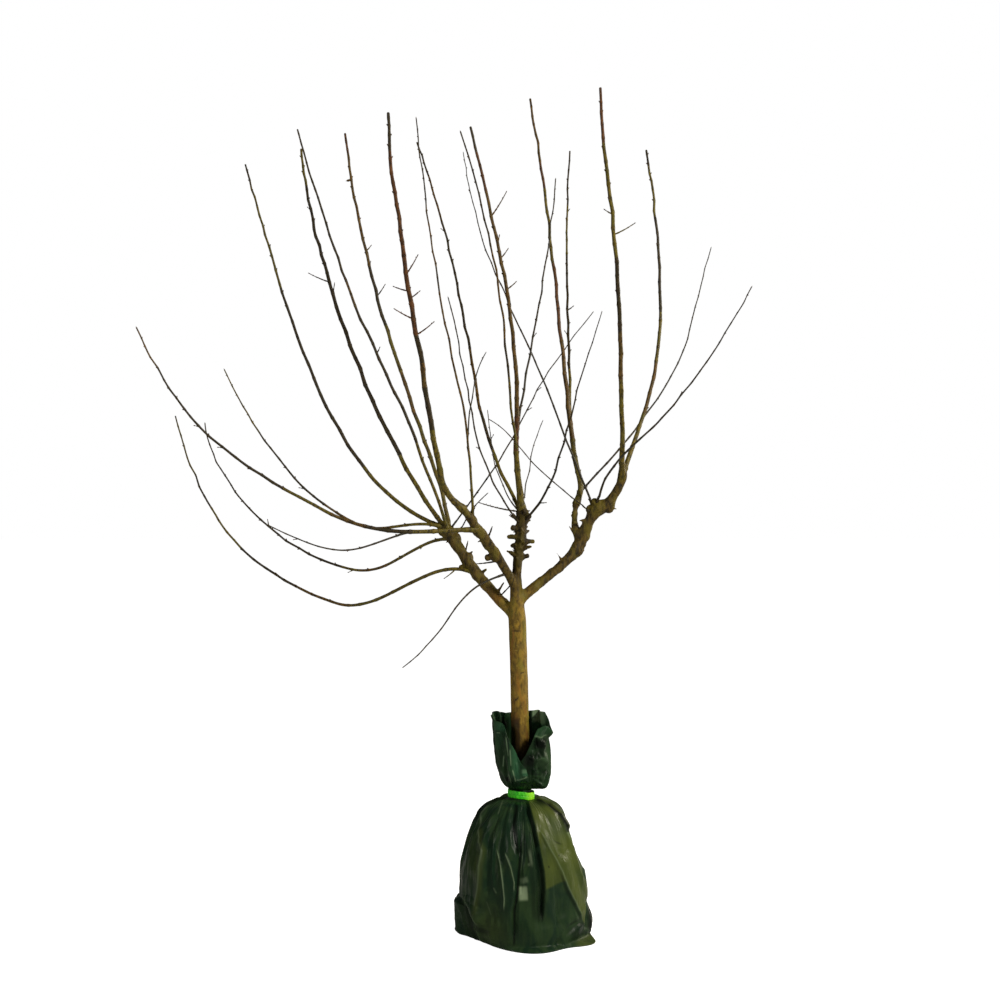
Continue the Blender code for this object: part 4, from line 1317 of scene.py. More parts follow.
    def kinked(self, places: np.ndarray, along: np.ndarray, nodes: list,
               rule: random.Random) -> np.ndarray:
        """Bend a shoot's line a little at each node, to one side and then the other.

        Args:
            places: The line's places.
            along: How far along the shoot each place is.
            nodes: The bud nodes.
            rule: The shoot's seeded draws.

        Returns:
            The bent line.
        """
        bends = np.array([(rule.uniform(-1, 1), rule.uniform(-1, 1), 0.0) for _ in nodes])
        sides = np.array([1 if number % 2 else -1 for number in range(len(nodes))])
        bends *= self.kink * sides[:, None]
        spots = np.array([at for at, _ in nodes])
        for axis in range(2):
            places[:, axis] += np.interp(along, spots, bends[:, axis], left=0.0)
        return places

    def shoot(self, limb: Limb, course: Course, sunk: float) -> None:
        """Add one shoot with its nodes, buds, side twigs and forks.

        Args:
            limb: The shoot.
            course: Its centre line.
            sunk: How much of its foot is inside its parent.
        """
        rule = random.Random(f"{SEED} {limb.name} {limb.at} buds")
        shares, places = self.line(limb, course)
        along = shares * course.length
        radii = np.array([limb.radius(share) for share in shares]) * self.swell[0] + self.swell[1]
        radii = radii * (1 + 0.42 * np.exp(-np.clip(along - sunk, 0, None) / 0.012))
        ways = np.gradient(places, axis=0)
        ways /= np.linalg.norm(ways, axis=1)[:, None]
        nodes = self.nodes(course.length, sunk, rule)
        stout = float(radii[len(radii) // 2])
        tones = self.tones(limb, rule, shares)
        for at, _ in nodes:
            radii = radii * (1 + (0.13 + 0.0002 / stout) * np.exp(-((along - at) / 0.0032) ** 2))
        places = self.kinked(places, along, nodes, rule)
        sides = 12 if limb.girths[0][1] > 9 else 8
        wave = np.sin(along[:, None] * 120 + np.arange(sides)[None] * 2 * math.pi / sides * 2)
        self.skin.add_tube(places, radii, sides, tones, 1 + 0.03 * wave)
        for number, (at, turn) in enumerate(nodes):
            ring = min(len(places) - 1, round(at / course.length * (len(places) - 1)))
            way = ways[ring]
            side = np.cross(way, (0.0, 1.0, 0.2))
            side /= np.linalg.norm(side)
            out = side * math.cos(turn) + np.cross(way, side) * math.sin(turn)
            lean = out * 0.62 + way * 0.80
            lean = lean / np.linalg.norm(lean)
            spot = places[ring] + out * radii[ring] * 0.72
            fine = rule.random()
            if fine < self.twig_odds and number > 1:
                length = rule.uniform(0.005, 0.010)
                self.side_twig(spot, lean, way, length, min(2.2, radii[ring] * 2000 * 0.6),
                               int(tones[ring]), rule)
            elif fine < self.bud_odds:
                self.bud(spot, lean, min(max(0.0034, radii[ring] * 1.7), 0.0056))
        if radii[-1] < self.blunt_radius:
            self.bud(places[-1], ways[-1], 0.0036)
        for spur in limb.spurs:
            ring = min(len(places) - 1, round(spur.at * (len(places) - 1)))
            way = np.array(spur.heading.vector().normalized())
            self.side_twig(places[ring], way, ways[ring], spur.length, spur.girth,
                           int(tones[ring]), rule)
        for fork in limb.forks:
            branch = Course(course.place(fork.at), fork.leave, fork.stops)
            self.shoot(fork, branch, limb.radius(fork.at))

    def build(self) -> bpy.types.Object:
        """Make the sprays.

        Returns:
            The piece.
        """
        for name in self.members:
            limb = next(limb for limb in SHOOTS if limb.name == name)
            parent = next(other for other in BOUGHS if other.name == limb.parent)
            self.shoot(limb, self.courses[name], parent.radius(limb.at))
        if self.name == "twigs_centre":
            for limb in BOUGHS:
                self.bough_twigs(limb)
        item = self.skin.build(self.name, (*self.finishes.shoots, self.finishes.bud))
        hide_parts(*self.members)
        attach(item, "root")
        return item

    def bough_twigs(self, limb: Limb) -> None:
        """Add the thin twigs that stand on a bough, which its bark mesh is too coarse for.

        Args:
            limb: The bough.
        """
        course = self.courses[limb.name]
        rule = random.Random(f"{SEED} {limb.name} twigs")
        for spur in limb.spurs:
            if spur.girth < Wood.stub_girth:
                way = np.array(spur.heading.vector().normalized())
                self.side_twig(np.array(course.place(spur.at)), way,
                               np.array(course.heading(spur.at)), spur.length, spur.girth,
                               Tone.DARK.value, rule)


# ---------------------------------------------------------------- root ball in its bag

@dataclass(frozen=True)
class Crease:
    """A fold along a line in the front view, in millimetres right, up and proud."""

    line: tuple
    proud: float
    left: float
    right: float
    blunt: float = 0.10
    fade: float = 0.12

    def off(self, x: np.ndarray, z: np.ndarray) -> tuple:
        """How far each point is to the right of the line, and its share of the line's length.

        Args:
            x: How far right each point appears.
            z: How high each point appears.

        Returns:
            The distances to the right and the shares.
        """
        points = np.array(self.line) * MM
        runs = np.linalg.norm(np.diff(points, axis=0), axis=1)
        total, gone = runs.sum(), 0.0
        best, share = np.full(x.shape, 9.0), np.zeros(x.shape)
        for (x0, z0), (x1, z1), run in zip(points, points[1:], runs):
            along = ((x - x0) * (x1 - x0) + (z - z0) * (z1 - z0)) / run
            reach = np.clip(along, 0, run)
            away = np.hypot(x - x0 - (x1 - x0) * reach / run, z - z0 - (z1 - z0) * reach / run)
            side = np.sign((x - x0) * (z0 - z1) - (z - z0) * (x0 - x1))
            nearer = away < np.abs(best)
            best = np.where(nearer, away * np.where(side == 0, 1, side), best)
            share = np.where(nearer, (gone + reach) / total, share)
            gone += run
        return best, share

    def lift(self, x: np.ndarray, z: np.ndarray) -> np.ndarray:
        """How far the fold lifts the film, in metres.

        Args:
            x: How far right each point appears.
            z: How high each point appears.

        Returns:
            The lift of each point.
        """
        off, share = self.off(x, z)
        widening = 0.45 + 0.55 * np.clip(share / 0.35, 0, 1)
        wide = np.where(off < 0, self.left, self.right) * MM * widening
        ends = smooth_step(share, 0.0, self.fade) * (1 - smooth_step(share, 1 - self.fade, 1.0))
        return self.proud * MM * tent(off / wide, self.blunt) * ends


@dataclass(frozen=True)
class Patch:
    """A soft mark in the front view: its middle and half sizes in mm, strength and lean."""

    right: float
    up: float
    wide: float
    tall: float
    strength: float = 1.0
    lean: float = 0.0
    edge: int = 4

    def cover(self, x: np.ndarray, z: np.ndarray) -> np.ndarray:
        """How far the mark covers each place, from 0 to 1.

        Args:
            x: How far right each place appears.
            z: How high each place appears.

        Returns:
            The cover of each place.
        """
        across, above = x / MM - self.right, z / MM - self.up
        run = across * math.cos(self.lean) + above * math.sin(self.lean)
        rise = above * math.cos(self.lean) - across * math.sin(self.lean)
        fall = (run / self.wide) ** self.edge + (rise / self.tall) ** self.edge
        return self.strength * np.exp(-fall)


@dataclass(frozen=True)
class Glint:
    """A thin painted highlight along a film crease: its course, half width in mm and strength."""

    line: tuple
    width: float = 1.2
    strength: float = 0.5

    def cover(self, x: np.ndarray, z: np.ndarray) -> np.ndarray:
        """How far the line covers each place, from 0 to 1.

        Args:
            x: How far right each place appears.
            z: How high each place appears.

        Returns:
            The cover of each place.
        """
        off, share = Crease(self.line, 1, 1, 1).off(x, z)
        ends = smooth_step(share, 0.0, 0.15) * (1 - smooth_step(share, 0.85, 1.0))
        return self.strength * hump(off, 0.0, self.width * MM) * ends


def beside(line: tuple, right: float, up: float = 0.0) -> tuple:
    """The same line, moved to the right and up."""
    return tuple((x + right, z + up) for x, z in line)


def seen(grid: np.ndarray) -> tuple:
    """Where each place appears in the front view, from 4 m in front of the tree, in metres.

    Args:
        grid: The places.

    Returns:
        How far right and how high each appears.
    """
    nearer = 1 + grid[..., 1] / VIEW_AWAY
    right = VIEW_ASIDE + (grid[..., 0] - VIEW_ASIDE) / nearer
    return right, VIEW_HEIGHT + (grid[..., 2] - VIEW_HEIGHT) / nearer


def in_front(grid: np.ndarray) -> np.ndarray:
    """1 on the half that faces the front view, fading out just past the outline."""
    return 1 - smooth_step(grid[..., 1], 0.002, 0.036)


def covered(marks: tuple, x: np.ndarray, z: np.ndarray) -> np.ndarray:
    """How far any of the marks covers each place, from 0 to 1."""
    return np.maximum.reduce([one.cover(x, z) for one in marks])


PANEL_EDGE = ((11.3, 342.5), (18, 310), (30, 267.5), (41, 215), (51.8, 157.5),
              (54.5, 113.5), (51.8, 67.5), (50, 22.5))
PANEL_RIM = ((28.8, 346.5), (69.5, 330), (96.5, 305.8), (108.8, 284.3), (118.3, 262.5),
             (127.5, 230))
PANEL_RIDGE = ((34.3, 265), (58.5, 224.5), (83, 186.8), (99.3, 154.3), (115.5, 108),
               (137, 62), (153.3, 26.8))
FRONT_SEAM = ((0, 335), (-3.8, 297.5), (-5, 246.3), (-9.3, 170.5), (-14.5, 102.5),
              (-22.8, 56.8), (-22.8, 7.5), (-22.8, -35))
LEFT_FOLD = ((-72.5, 337.5), (-104, 300.5), (-109.3, 230), (-101.3, 208.3), (-108, 170.5),
             (-110.8, 116.3), (-121.5, 54))
LONG_FOLD = ((-66, 216.5), (-55.3, 170.5), (-50, 130), (-45.8, 89.3), (-47, 54))
SHORT_FOLD = ((-45.8, 208.3), (-30.8, 165), (-22.8, 130), (-22.8, 102.5))
EAR_FOLD = ((-152.5, 97.5), (-128.3, 48.5), (-107.5, 21.5))
RIM_GLEAM = ((99.3, 278.8), (123.5, 230), (142.5, 192), (153.3, 160))
FRONT_CREASES = (
    Crease(PANEL_EDGE, 7.0, 2.5, 46),
    Crease(beside(PANEL_EDGE, -6.5), -6.5, 9, 4),
    Crease(PANEL_RIDGE, 5.5, 7, 30, blunt=0.05),
    Crease(FRONT_SEAM, -5.5, 4, 12, blunt=0.06),
    Crease(beside(FRONT_SEAM, -9), 4.5, 26, 6, blunt=0.06),
    Crease(((18.5, 279), (23.8, 227), (27, 166), (31.2, 81), (31.2, 29)), 4.0, 9, 6, blunt=0.06),
    Crease(((41.6, 124), (41.6, 72), (41.6, 24)), 3.0, 4, 5, blunt=0.06),
    Crease(((-23.3, 324), (-26.7, 279), (-18.6, 226), (-8.3, 193)), -5.0, 10, 9),
    Crease(LONG_FOLD, 3.4, 9, 4, blunt=0.03),
    Crease(SHORT_FOLD, 3.2, 9, 4, blunt=0.03),
    Crease(LEFT_FOLD, 5.0, 16, 20, blunt=0.05),
    Crease(((-50.9, 306), (-90.2, 239), (-92.8, 173), (-88.9, 87)), -4.0, 7, 12),
    Crease(((-61, 305), (-116.8, 249), (-130.3, 199), (-125, 137)), 4.0, 12, 10, blunt=0.06),
    Crease(EAR_FOLD, 6.0, 5, 26, blunt=0.05),
    Crease(beside(EAR_FOLD, -8, -6), -5.0, 12, 5),
    Crease(beside(PANEL_RIM[:5], -2, -5), 7.0, 12, 4, blunt=0.06),
    Crease(beside(PANEL_RIM[:5], 3, 6), -6.0, 4, 7),
    Crease(((80.7, -31), (109.4, 8), (136, 39)), -3.2, 12, 8),
    Crease(((97.9, -30), (128.5, 5), (150.6, 26)), 2.6, 10, 8),
    Crease(((87.4, 212), (102.7, 199), (117.3, 223)), -1.6, 9, 9, blunt=0.3, fade=0.3),
    Crease(((92.7, 184), (106.9, 175), (120.6, 193)), 1.4, 9, 9, blunt=0.3, fade=0.3),
    Crease(((-72.5, 75), (-64.3, 47), (-66.5, 10)), 2.6, 8, 8, fade=0.3),
    Crease(((156.7, 96), (158.2, 52), (157.8, 8)), -6.0, 3, 16, blunt=0.04),
    Crease(((-52.6, 321), (-74.2, 225), (-76.5, 149), (-66.4, 84)), 3.0, 5, 14, blunt=0.04),
    Crease(((76.5, 149), (82.8, 86), (87, 13)), -2.6, 5, 14, blunt=0.05),
)
SHADED_FOLDS = (
    Crease(((-16.3, 340), (-16.3, 307.5), (-23.8, 265), (-17.5, 235), (-10, 190)), 1.0, 8, 8),
    Crease(FRONT_SEAM[2:], 0.95, 4, 5, fade=0.05),
    Crease(beside(PANEL_EDGE[:4], -3), 0.85, 4, 2.5, fade=0.05),
    Crease(beside(PANEL_EDGE[3:], -6), 0.66, 19, 8, blunt=0.3, fade=0.12),
    Crease(beside(PANEL_EDGE[3:], -3), 0.90, 3, 3, fade=0.10),
    Crease(beside(PANEL_EDGE[2:5], -33), 0.5, 6, 6, fade=0.2),
    Crease(beside(PANEL_RIDGE[3:], -4), 0.6, 5, 3, fade=0.1),
    Crease(((-55, 343.8), (-101.3, 315), (-122.5, 280)), 0.8, 4, 5, fade=0.1),
    Crease(beside(PANEL_RIM[:5], -4, -9), 1.0, 7, 5, fade=0.03),
    Crease(beside(PANEL_RIM[2:], 1), 1.0, 8, 16, fade=0.06),
    Crease(((163.8, 85), (168, 30), (167.5, -8)), 1.0, 7, 12, fade=0.08),
    Crease(((-156.6, 92), (-142.7, 58.9), (-125.5, 10.4), (-109.3, -17.5)), 0.7, 22, 4, fade=0.05),
)
# two small dark dots, and painted shade low on the bag and along its folds
DARK_DOTS_AND_SHADE = (
    Patch(62.5, 167.5, 2, 2.4, 0.95), Patch(90, 196.3, 1.8, 2, 0.9),
    Patch(145, 22.5, 10, 9, 0.5, 0.6), Patch(130, 30, 18, 3, 0.5, 0.5),
    Patch(-105, 10, 20, 6, 0.6, -0.5), Patch(88, 229, 11, 1.8, 0.6, -0.5),
    Patch(15, 200, 8, 40, 0.20), Patch(35, 103, 17, 43, 0.35),
    Patch(136, 4, 20, 15, 0.50, 0.5), Patch(-8, 8, 26, 28, 0.28),
)
# a pale square with a paler left strip, and painted highlights as soft pale patches and glints
PALE_AND_HIGHLIGHT_MARKS = (
    Patch(0.5, 101.3, 11.2, 17.8, 0.72, 0.06, 8), Patch(-5.5, 107.5, 3, 11, 1.0, 0.06, 8),
    Patch(18.8, 190, 3.6, 19, 0.36, 0.14), Patch(18, 175, 6, 4, 0.30, 0.5),
    Patch(3, 133.8, 9.5, 7.5, 0.26, 0.3),
    Glint(LONG_FOLD, 1.2, 0.55), Glint(SHORT_FOLD, 1.1, 0.45), Glint(LEFT_FOLD, 1.9, 0.24),
    Glint(PANEL_RIDGE, 1.3, 0.28), Glint(EAR_FOLD, 1.2, 0.24), Glint(RIM_GLEAM, 2.4, 0.34),
    Glint(((-74, 260), (-71.5, 225)), 1.0, 0.22), Glint(((-50, 335), (-63, 297)), 1.4, 0.20),
    Glint(((0, 290), (-1, 200), (-6, 150)), 1.0, 0.22),
    Glint(((-74.6, 117), (-66.4, 100)), 1.6, 0.22), Glint(((-93, 83), (-80.8, 44)), 1.0, 0.14),
)


def ridged(place: np.ndarray, scale: tuple, shift: float) -> np.ndarray:
    """Noise with crisp ridges on rows of places; returns from about -0.5 to 0.5."""
    stretched = place * scale + shift
    return np.array([0.5 - 2.0 * abs(noise.noise(spot)) for spot in stretched.tolist()])


def soft_mean(values: np.ndarray, reach: int, rise: int) -> np.ndarray:
    """The running mean of a grid that joins up the second way.

    Args:
        values: The grid.
        reach: How many columns it takes in to each side.
        rise: How many rows it takes in above and below.

    Returns:
        The smoothed grid.
    """
    total = np.zeros_like(values)
    for step in range(-reach, reach + 1):
        total += np.roll(values, step, axis=1)
    total /= 2 * reach + 1
    padded = np.pad(total, ((rise, rise), (0, 0)), mode="edge")
    sums = np.cumsum(np.vstack([np.zeros((1, values.shape[1])), padded]), axis=0)
    return (sums[2 * rise + 1:] - sums[:-2 * rise - 1]) / (2 * rise + 1)


@dataclass
class BagBall:
    """The soil in its bag: thin film over a lump that sags on a flat foot, pleated to the tie."""

    finish: bpy.types.Material
    neck_radius: float = 0.036
    flat_radius: float = 0.140
    heel: tuple = (0.166, 0.032)
    belly: tuple = (0.157, 0.100)
    ear_radius: float = 0.172
    front_share: float = 0.38
    sides: int = 480
    rings: int = 190
    gathers: int = 13
    gather_depth: float = 0.0045
    tie_pleats: int = 40
    # crumples: size in mm, how fine each way, place in the noise, and how much calmer in front
    crumples: tuple = ((6.5, (2.3, 2.3, 1.7), 3.1, 1.0), (3.4, (5.5, 5.5, 3.6), 8.7, 0.6),
                       (0.5, (13.0, 13.0, 8.5), 5.3, 0.0))
    # bulges, and dents below zero: towards in degrees, spread, height, half height and reach
    bulges: tuple = ((0, 0.45, 0.045, 0.040, 0.008), (180, 0.80, 0.270, 0.060, -0.007),
                     (-146, 0.50, 0.0, 0.060, -0.024), (0, 0.70, 0.235, 0.050, -0.015),
                     (0, 0.60, 0.332, 0.014, -0.015), (-28, 0.32, 0.0, 0.0085, 0.047),
                     (-78, 0.46, 0.0, 0.0085, 0.035), (165, 0.36, 0.0, 0.0085, 0.018))

    def profile(self) -> np.ndarray:
        """The turned profile from the tie down to the flat foot, evenly spaced.

        Returns:
            Radius and height pairs.
        """
        flat = (self.flat_radius, 0.0)
        up = [flat]
        up += arc(flat, (0.155, 0.0), (self.heel[0], 0.012), self.heel, 40)
        up += arc(self.heel, (self.heel[0], 0.055), (self.belly[0], 0.075), self.belly, 40)
        up += arc(self.belly, (0.157, 0.220), (0.118, 0.349), (self.neck_radius, NECK_HEIGHT), 160)
        line = np.array(up[::-1])
        steps = np.linalg.norm(np.diff(line, axis=0), axis=1)
        run = np.concatenate([[0.0], np.cumsum(steps)])
        wanted = np.linspace(0, run[-1], self.rings)
        return np.stack([np.interp(wanted, run, line[:, way]) for way in range(2)], axis=1)

    def base(self, profile: np.ndarray, angle: np.ndarray) -> np.ndarray:
        """The lump's own shape, as in the solid.

        Args:
            profile: The turned profile.
            angle: The angle round the ball, one a column.

        Returns:
            The places.
        """
        radius, z = profile[:, :1], profile[:, 1:]
        rise = z / NECK_HEIGHT
        grown = self.gather_depth * pleat(angle, self.gathers, 0.4) * np.sin(
            math.pi * np.clip((rise - 0.35) / 0.65, 0, 1))
        left = hump(turn_off(angle, math.radians(-172)), 0, 0.45)
        ear = np.clip(self.ear_radius - radius, 0, None) * (1 - smooth_step(z, 0.089, 0.099))
        grown = grown + left * ear * smooth_step(z, 0.0, 0.012)
        flank = (1 - smooth_step(z, 0.156, 0.172)) * smooth_step(z, 0.06, 0.12)
        grown = grown + 0.006 * hump(turn_off(angle, -0.1), 0, 0.35) * flank
        for towards, spread, height, tall, reach in self.bulges:
            bulge = hump(turn_off(angle, math.radians(towards)), 0, spread)
            grown = grown + reach * bulge * hump(z, height, tall)
        share = np.minimum(radius / self.flat_radius, 1.0)
        wide = radius + grown * share
        return np.stack([wide * np.cos(angle) + NECK_ASIDE * rise ** 2, wide * np.sin(angle),
                         np.broadcast_to(z, wide.shape)], axis=-1)

    def pleats(self, down: np.ndarray, angle: np.ndarray, radius: np.ndarray) -> np.ndarray:
        """Seeded pleats that run out from the tie, calmer in front, where the named folds are.

        Args:
            down: The share of the way down from the tie, one a row.
            angle: The angle round the ball, one a column.
            radius: The radius of each place.

        Returns:
            How far each place stands out.
        """
        rule = random.Random(f"{SEED} bag pleats")
        total = np.zeros(np.broadcast(down, angle).shape)
        for number in range(self.tie_pleats):
            tie = -math.pi + 2 * math.pi * (number + rule.uniform(-0.4, 0.4)) / self.tie_pleats
            front = -2.9 < tie < 0.1
            lean, bow = rule.uniform(-0.16, 0.16), rule.uniform(0.6, 1.6)
            proud = rule.choice((-1, 1)) * rule.uniform(2.0, 5.0) * MM * (0.28 if front else 1.0)
            short = front or rule.random() < 0.5
            end = rule.uniform(0.22, 0.5) if short else rule.uniform(0.5, 1.0)
            left, right = rule.uniform(3, 12) * MM, rule.uniform(3, 12) * MM
            off = np.remainder(angle - tie - lean * down ** bow + math.pi, 2 * math.pi) - math.pi
            off = off * radius
            grow = 0.5 + 1.1 * np.clip(down / 0.5, 0, 1)
            wide = np.where(off < 0, left, right) * grow
            span = 1 - smooth_step(down, end - 0.2, end)
            total += proud * tent(off / wide, 0.08) * span
        return total

    def lift(self, grid: np.ndarray, down: np.ndarray, angle: np.ndarray, radius: np.ndarray,
             z: np.ndarray) -> np.ndarray:
        """All folds, pleats and crumples together, in metres along the normal.

        Args:
            grid: The places as seen from the front.
            down: The share of the way down, one a row.
            angle: The angle round the ball, one a column.
            radius: The radius of each place.
            z: The height of each place.

        Returns:
            The lift of each place.
        """
        total = self.pleats(down, angle, radius)
        right, up = seen(grid)
        front = in_front(grid)
        for one in FRONT_CREASES:
            total += one.lift(right, up) * front
        ring = np.stack([np.cos(angle) + 0 * down, np.sin(angle) + 0 * down, down + 0 * angle],
                        axis=-1)
        flat = ring.reshape(-1, 3)
        shape = total.shape
        side = 1 - 0.55 * hump(turn_off(angle, -math.pi / 2), 0, 1.2)
        for size, scale, shift, calm in self.crumples:
            share = 1 - calm + calm * side
            total += size * MM * ridged(flat, scale, shift).reshape(shape) * share
        low = 1 - smooth_step(z, 0.05, 0.16)
        crumple = ridged(grid.reshape(-1, 3), (22.0, 22.0, 28.0), 1.9).reshape(shape)
        total += 1.8 * MM * crumple * low
        total -= 0.85 * soft_mean(total, self.sides // 16, self.rings // 14)
        return total

    def light_through(self, grid: np.ndarray, down: np.ndarray, angle: np.ndarray) -> np.ndarray:
        """Where the outer layer stands off the soil and looks paler, with painted light, from 0 to
        1.

        Args:
            grid: The places.
            down: The share of the way down, one a row.
            angle: The angle round the ball, one a column.

        Returns:
            The mask.
        """
        x, z = grid[:, :, 0], grid[:, :, 2]
        right, up = seen(grid)
        front = in_front(grid)
        edge, _ = Crease(PANEL_EDGE + ((50, -90),), 1, 1, 1).off(right, up)
        ridge, _ = Crease(PANEL_RIDGE, 1, 1, 1).off(right, up)
        # the right panel: paler film that stands off the soil, with painted light on the side the
        # lamps face
        panel = smooth_step(edge, -0.0015, 0.0015)
        above = up - 0.119 - 0.4 * (right - 0.072)
        lower = np.maximum(smooth_step(above, -0.004, 0.004), smooth_step(ridge, -0.0015, 0.0015))
        foot = smooth_step(x, 0.115, 0.140) * (1 - smooth_step(z, 0.008, 0.020))
        panel = panel * (1 - smooth_step(x, 0.151, 0.155) * (1 - smooth_step(z, 0.082, 0.098)))
        rim, _ = Crease(PANEL_RIM, 1, 1, 1).off(right, up)
        over = smooth_step(rim, -0.003, 0.0)
        panel = panel * (1 - over * smooth_step(right, 0.080, 0.095))
        panel = np.maximum(panel * lower * smooth_step(z, 0.025, 0.05), 0.8 * foot) * front
        spots = (grid.reshape(-1, 3) * (30, 30, 16)).tolist()
        cloud = np.array([noise.noise(spot) for spot in spots])
        cloud = cloud.reshape(panel.shape)
        panel = panel * (0.82 + 0.5 * cloud)
        streak, _ = Crease(LEFT_FOLD, 1, 1, 1).off(right, up)
        # painted light: pale streaks along the left fold where light falls on it
        lit_streaks = 0.46 * hump(streak, 0.003, 0.006)
        lit_streaks = lit_streaks + 0.35 * hump(streak, -0.010, 0.006) * hump(up, 0.175, 0.040)
        lit_streaks = lit_streaks + 0.24 * hump(streak, -0.024, 0.012) * hump(up, 0.195, 0.060)
        lit_streaks = lit_streaks * smooth_step(up, 0.02, 0.08) * (1 - smooth_step(up, 0.25, 0.28)) * front
        low = 0.30 * hump(x, -0.080, 0.040) * hump(z, 0.05, 0.05) * front
        back = 0.5 * hump(turn_off(angle, 1.9), 0, 0.40) * (1 - smooth_step(down, 0.5, 0.7))
        sides = 0.35 * np.clip(cloud * 2.2, 0, 1) * (1 - front)
        return np.clip(panel + lit_streaks + low + back + sides, 0, 1)

    def painted_shade_and_pale_marks(self, grid: np.ndarray) -> tuple:
        """Painted shade and dark dots, and pale spots that show through with painted highlights, 0
        to 1.

        Args:
            grid: The places.

        Returns:
            The two masks.
        """
        right, up = seen(grid)
        front = in_front(grid)
        # painted shade and the dark dots, then painted shade along the folds
        dark = covered(DARK_DOTS_AND_SHADE, right, up)
        for one in SHADED_FOLDS:
            dark = np.maximum(dark, 1000 * one.lift(right, up))
        return np.clip(dark, 0, 1) * front, covered(PALE_AND_HIGHLIGHT_MARKS, right, up) * front

    def build(self) -> bpy.types.Object:
        """Make the bagged ball.

        Returns:
            The ball piece.
        """
        turn = np.linspace(-math.pi, math.pi, self.sides, endpoint=False)[None, :]
        angle = turn - self.front_share * np.cos(turn)
        profile = self.profile()
        down = np.linspace(0, 1, self.rings)[:, None]
        grid = self.base(profile, angle)
        along = np.gradient(grid, axis=0)
        across = np.roll(grid, -1, axis=1) - np.roll(grid, 1, axis=1)
        normal = np.cross(along, across)
        normal /= np.linalg.norm(normal, axis=2)[:, :, None]
        z = profile[:, 1:]
        lift = self.lift(grid, down, angle, profile[:, :1], z)
        ends = smooth_step(z, 0.0, 0.012) * smooth_step(down, 0.0, 0.03)
        # kept masks: paler film with painted light, painted shade, and pale patches with painted
        # highlights
        thin = self.light_through(grid, down, angle)
        shade, spot = self.painted_shade_and_pale_marks(grid)
        grid = grid + normal * (lift * ends)[:, :, None]
        grid[:, :, 2] = np.maximum(grid[:, :, 2], 0.0)
        neck = grid[0].copy()
        middle = np.array((NECK_ASIDE, 0, 0))
        inside = np.stack([middle + (neck - middle) * (0.86, 0.86, 1) + (0, 0, 0.0015),
                           middle + (neck - middle) * (0.80, 0.80, 1) + (0, 0, 0.0110)])
        under = np.stack([grid[-1] * (share, share, 0) for share in (0.75, 0.4, 0.02)])
        whole = np.concatenate([inside[::-1], grid, under])
        item = put("bag_ball_film", sheet_mesh("bag_ball_film", whole[::-1]))
        for key, values in (("thin", thin), ("shade", shade), ("warm", spot)):
            values = np.concatenate([values[:1], values[:1], values, np.zeros((3, self.sides))])
            note(item.data, key, values[::-1])
        item.data.materials.append(self.finish)
        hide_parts("root_ball")
        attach(item, "root")
        return item


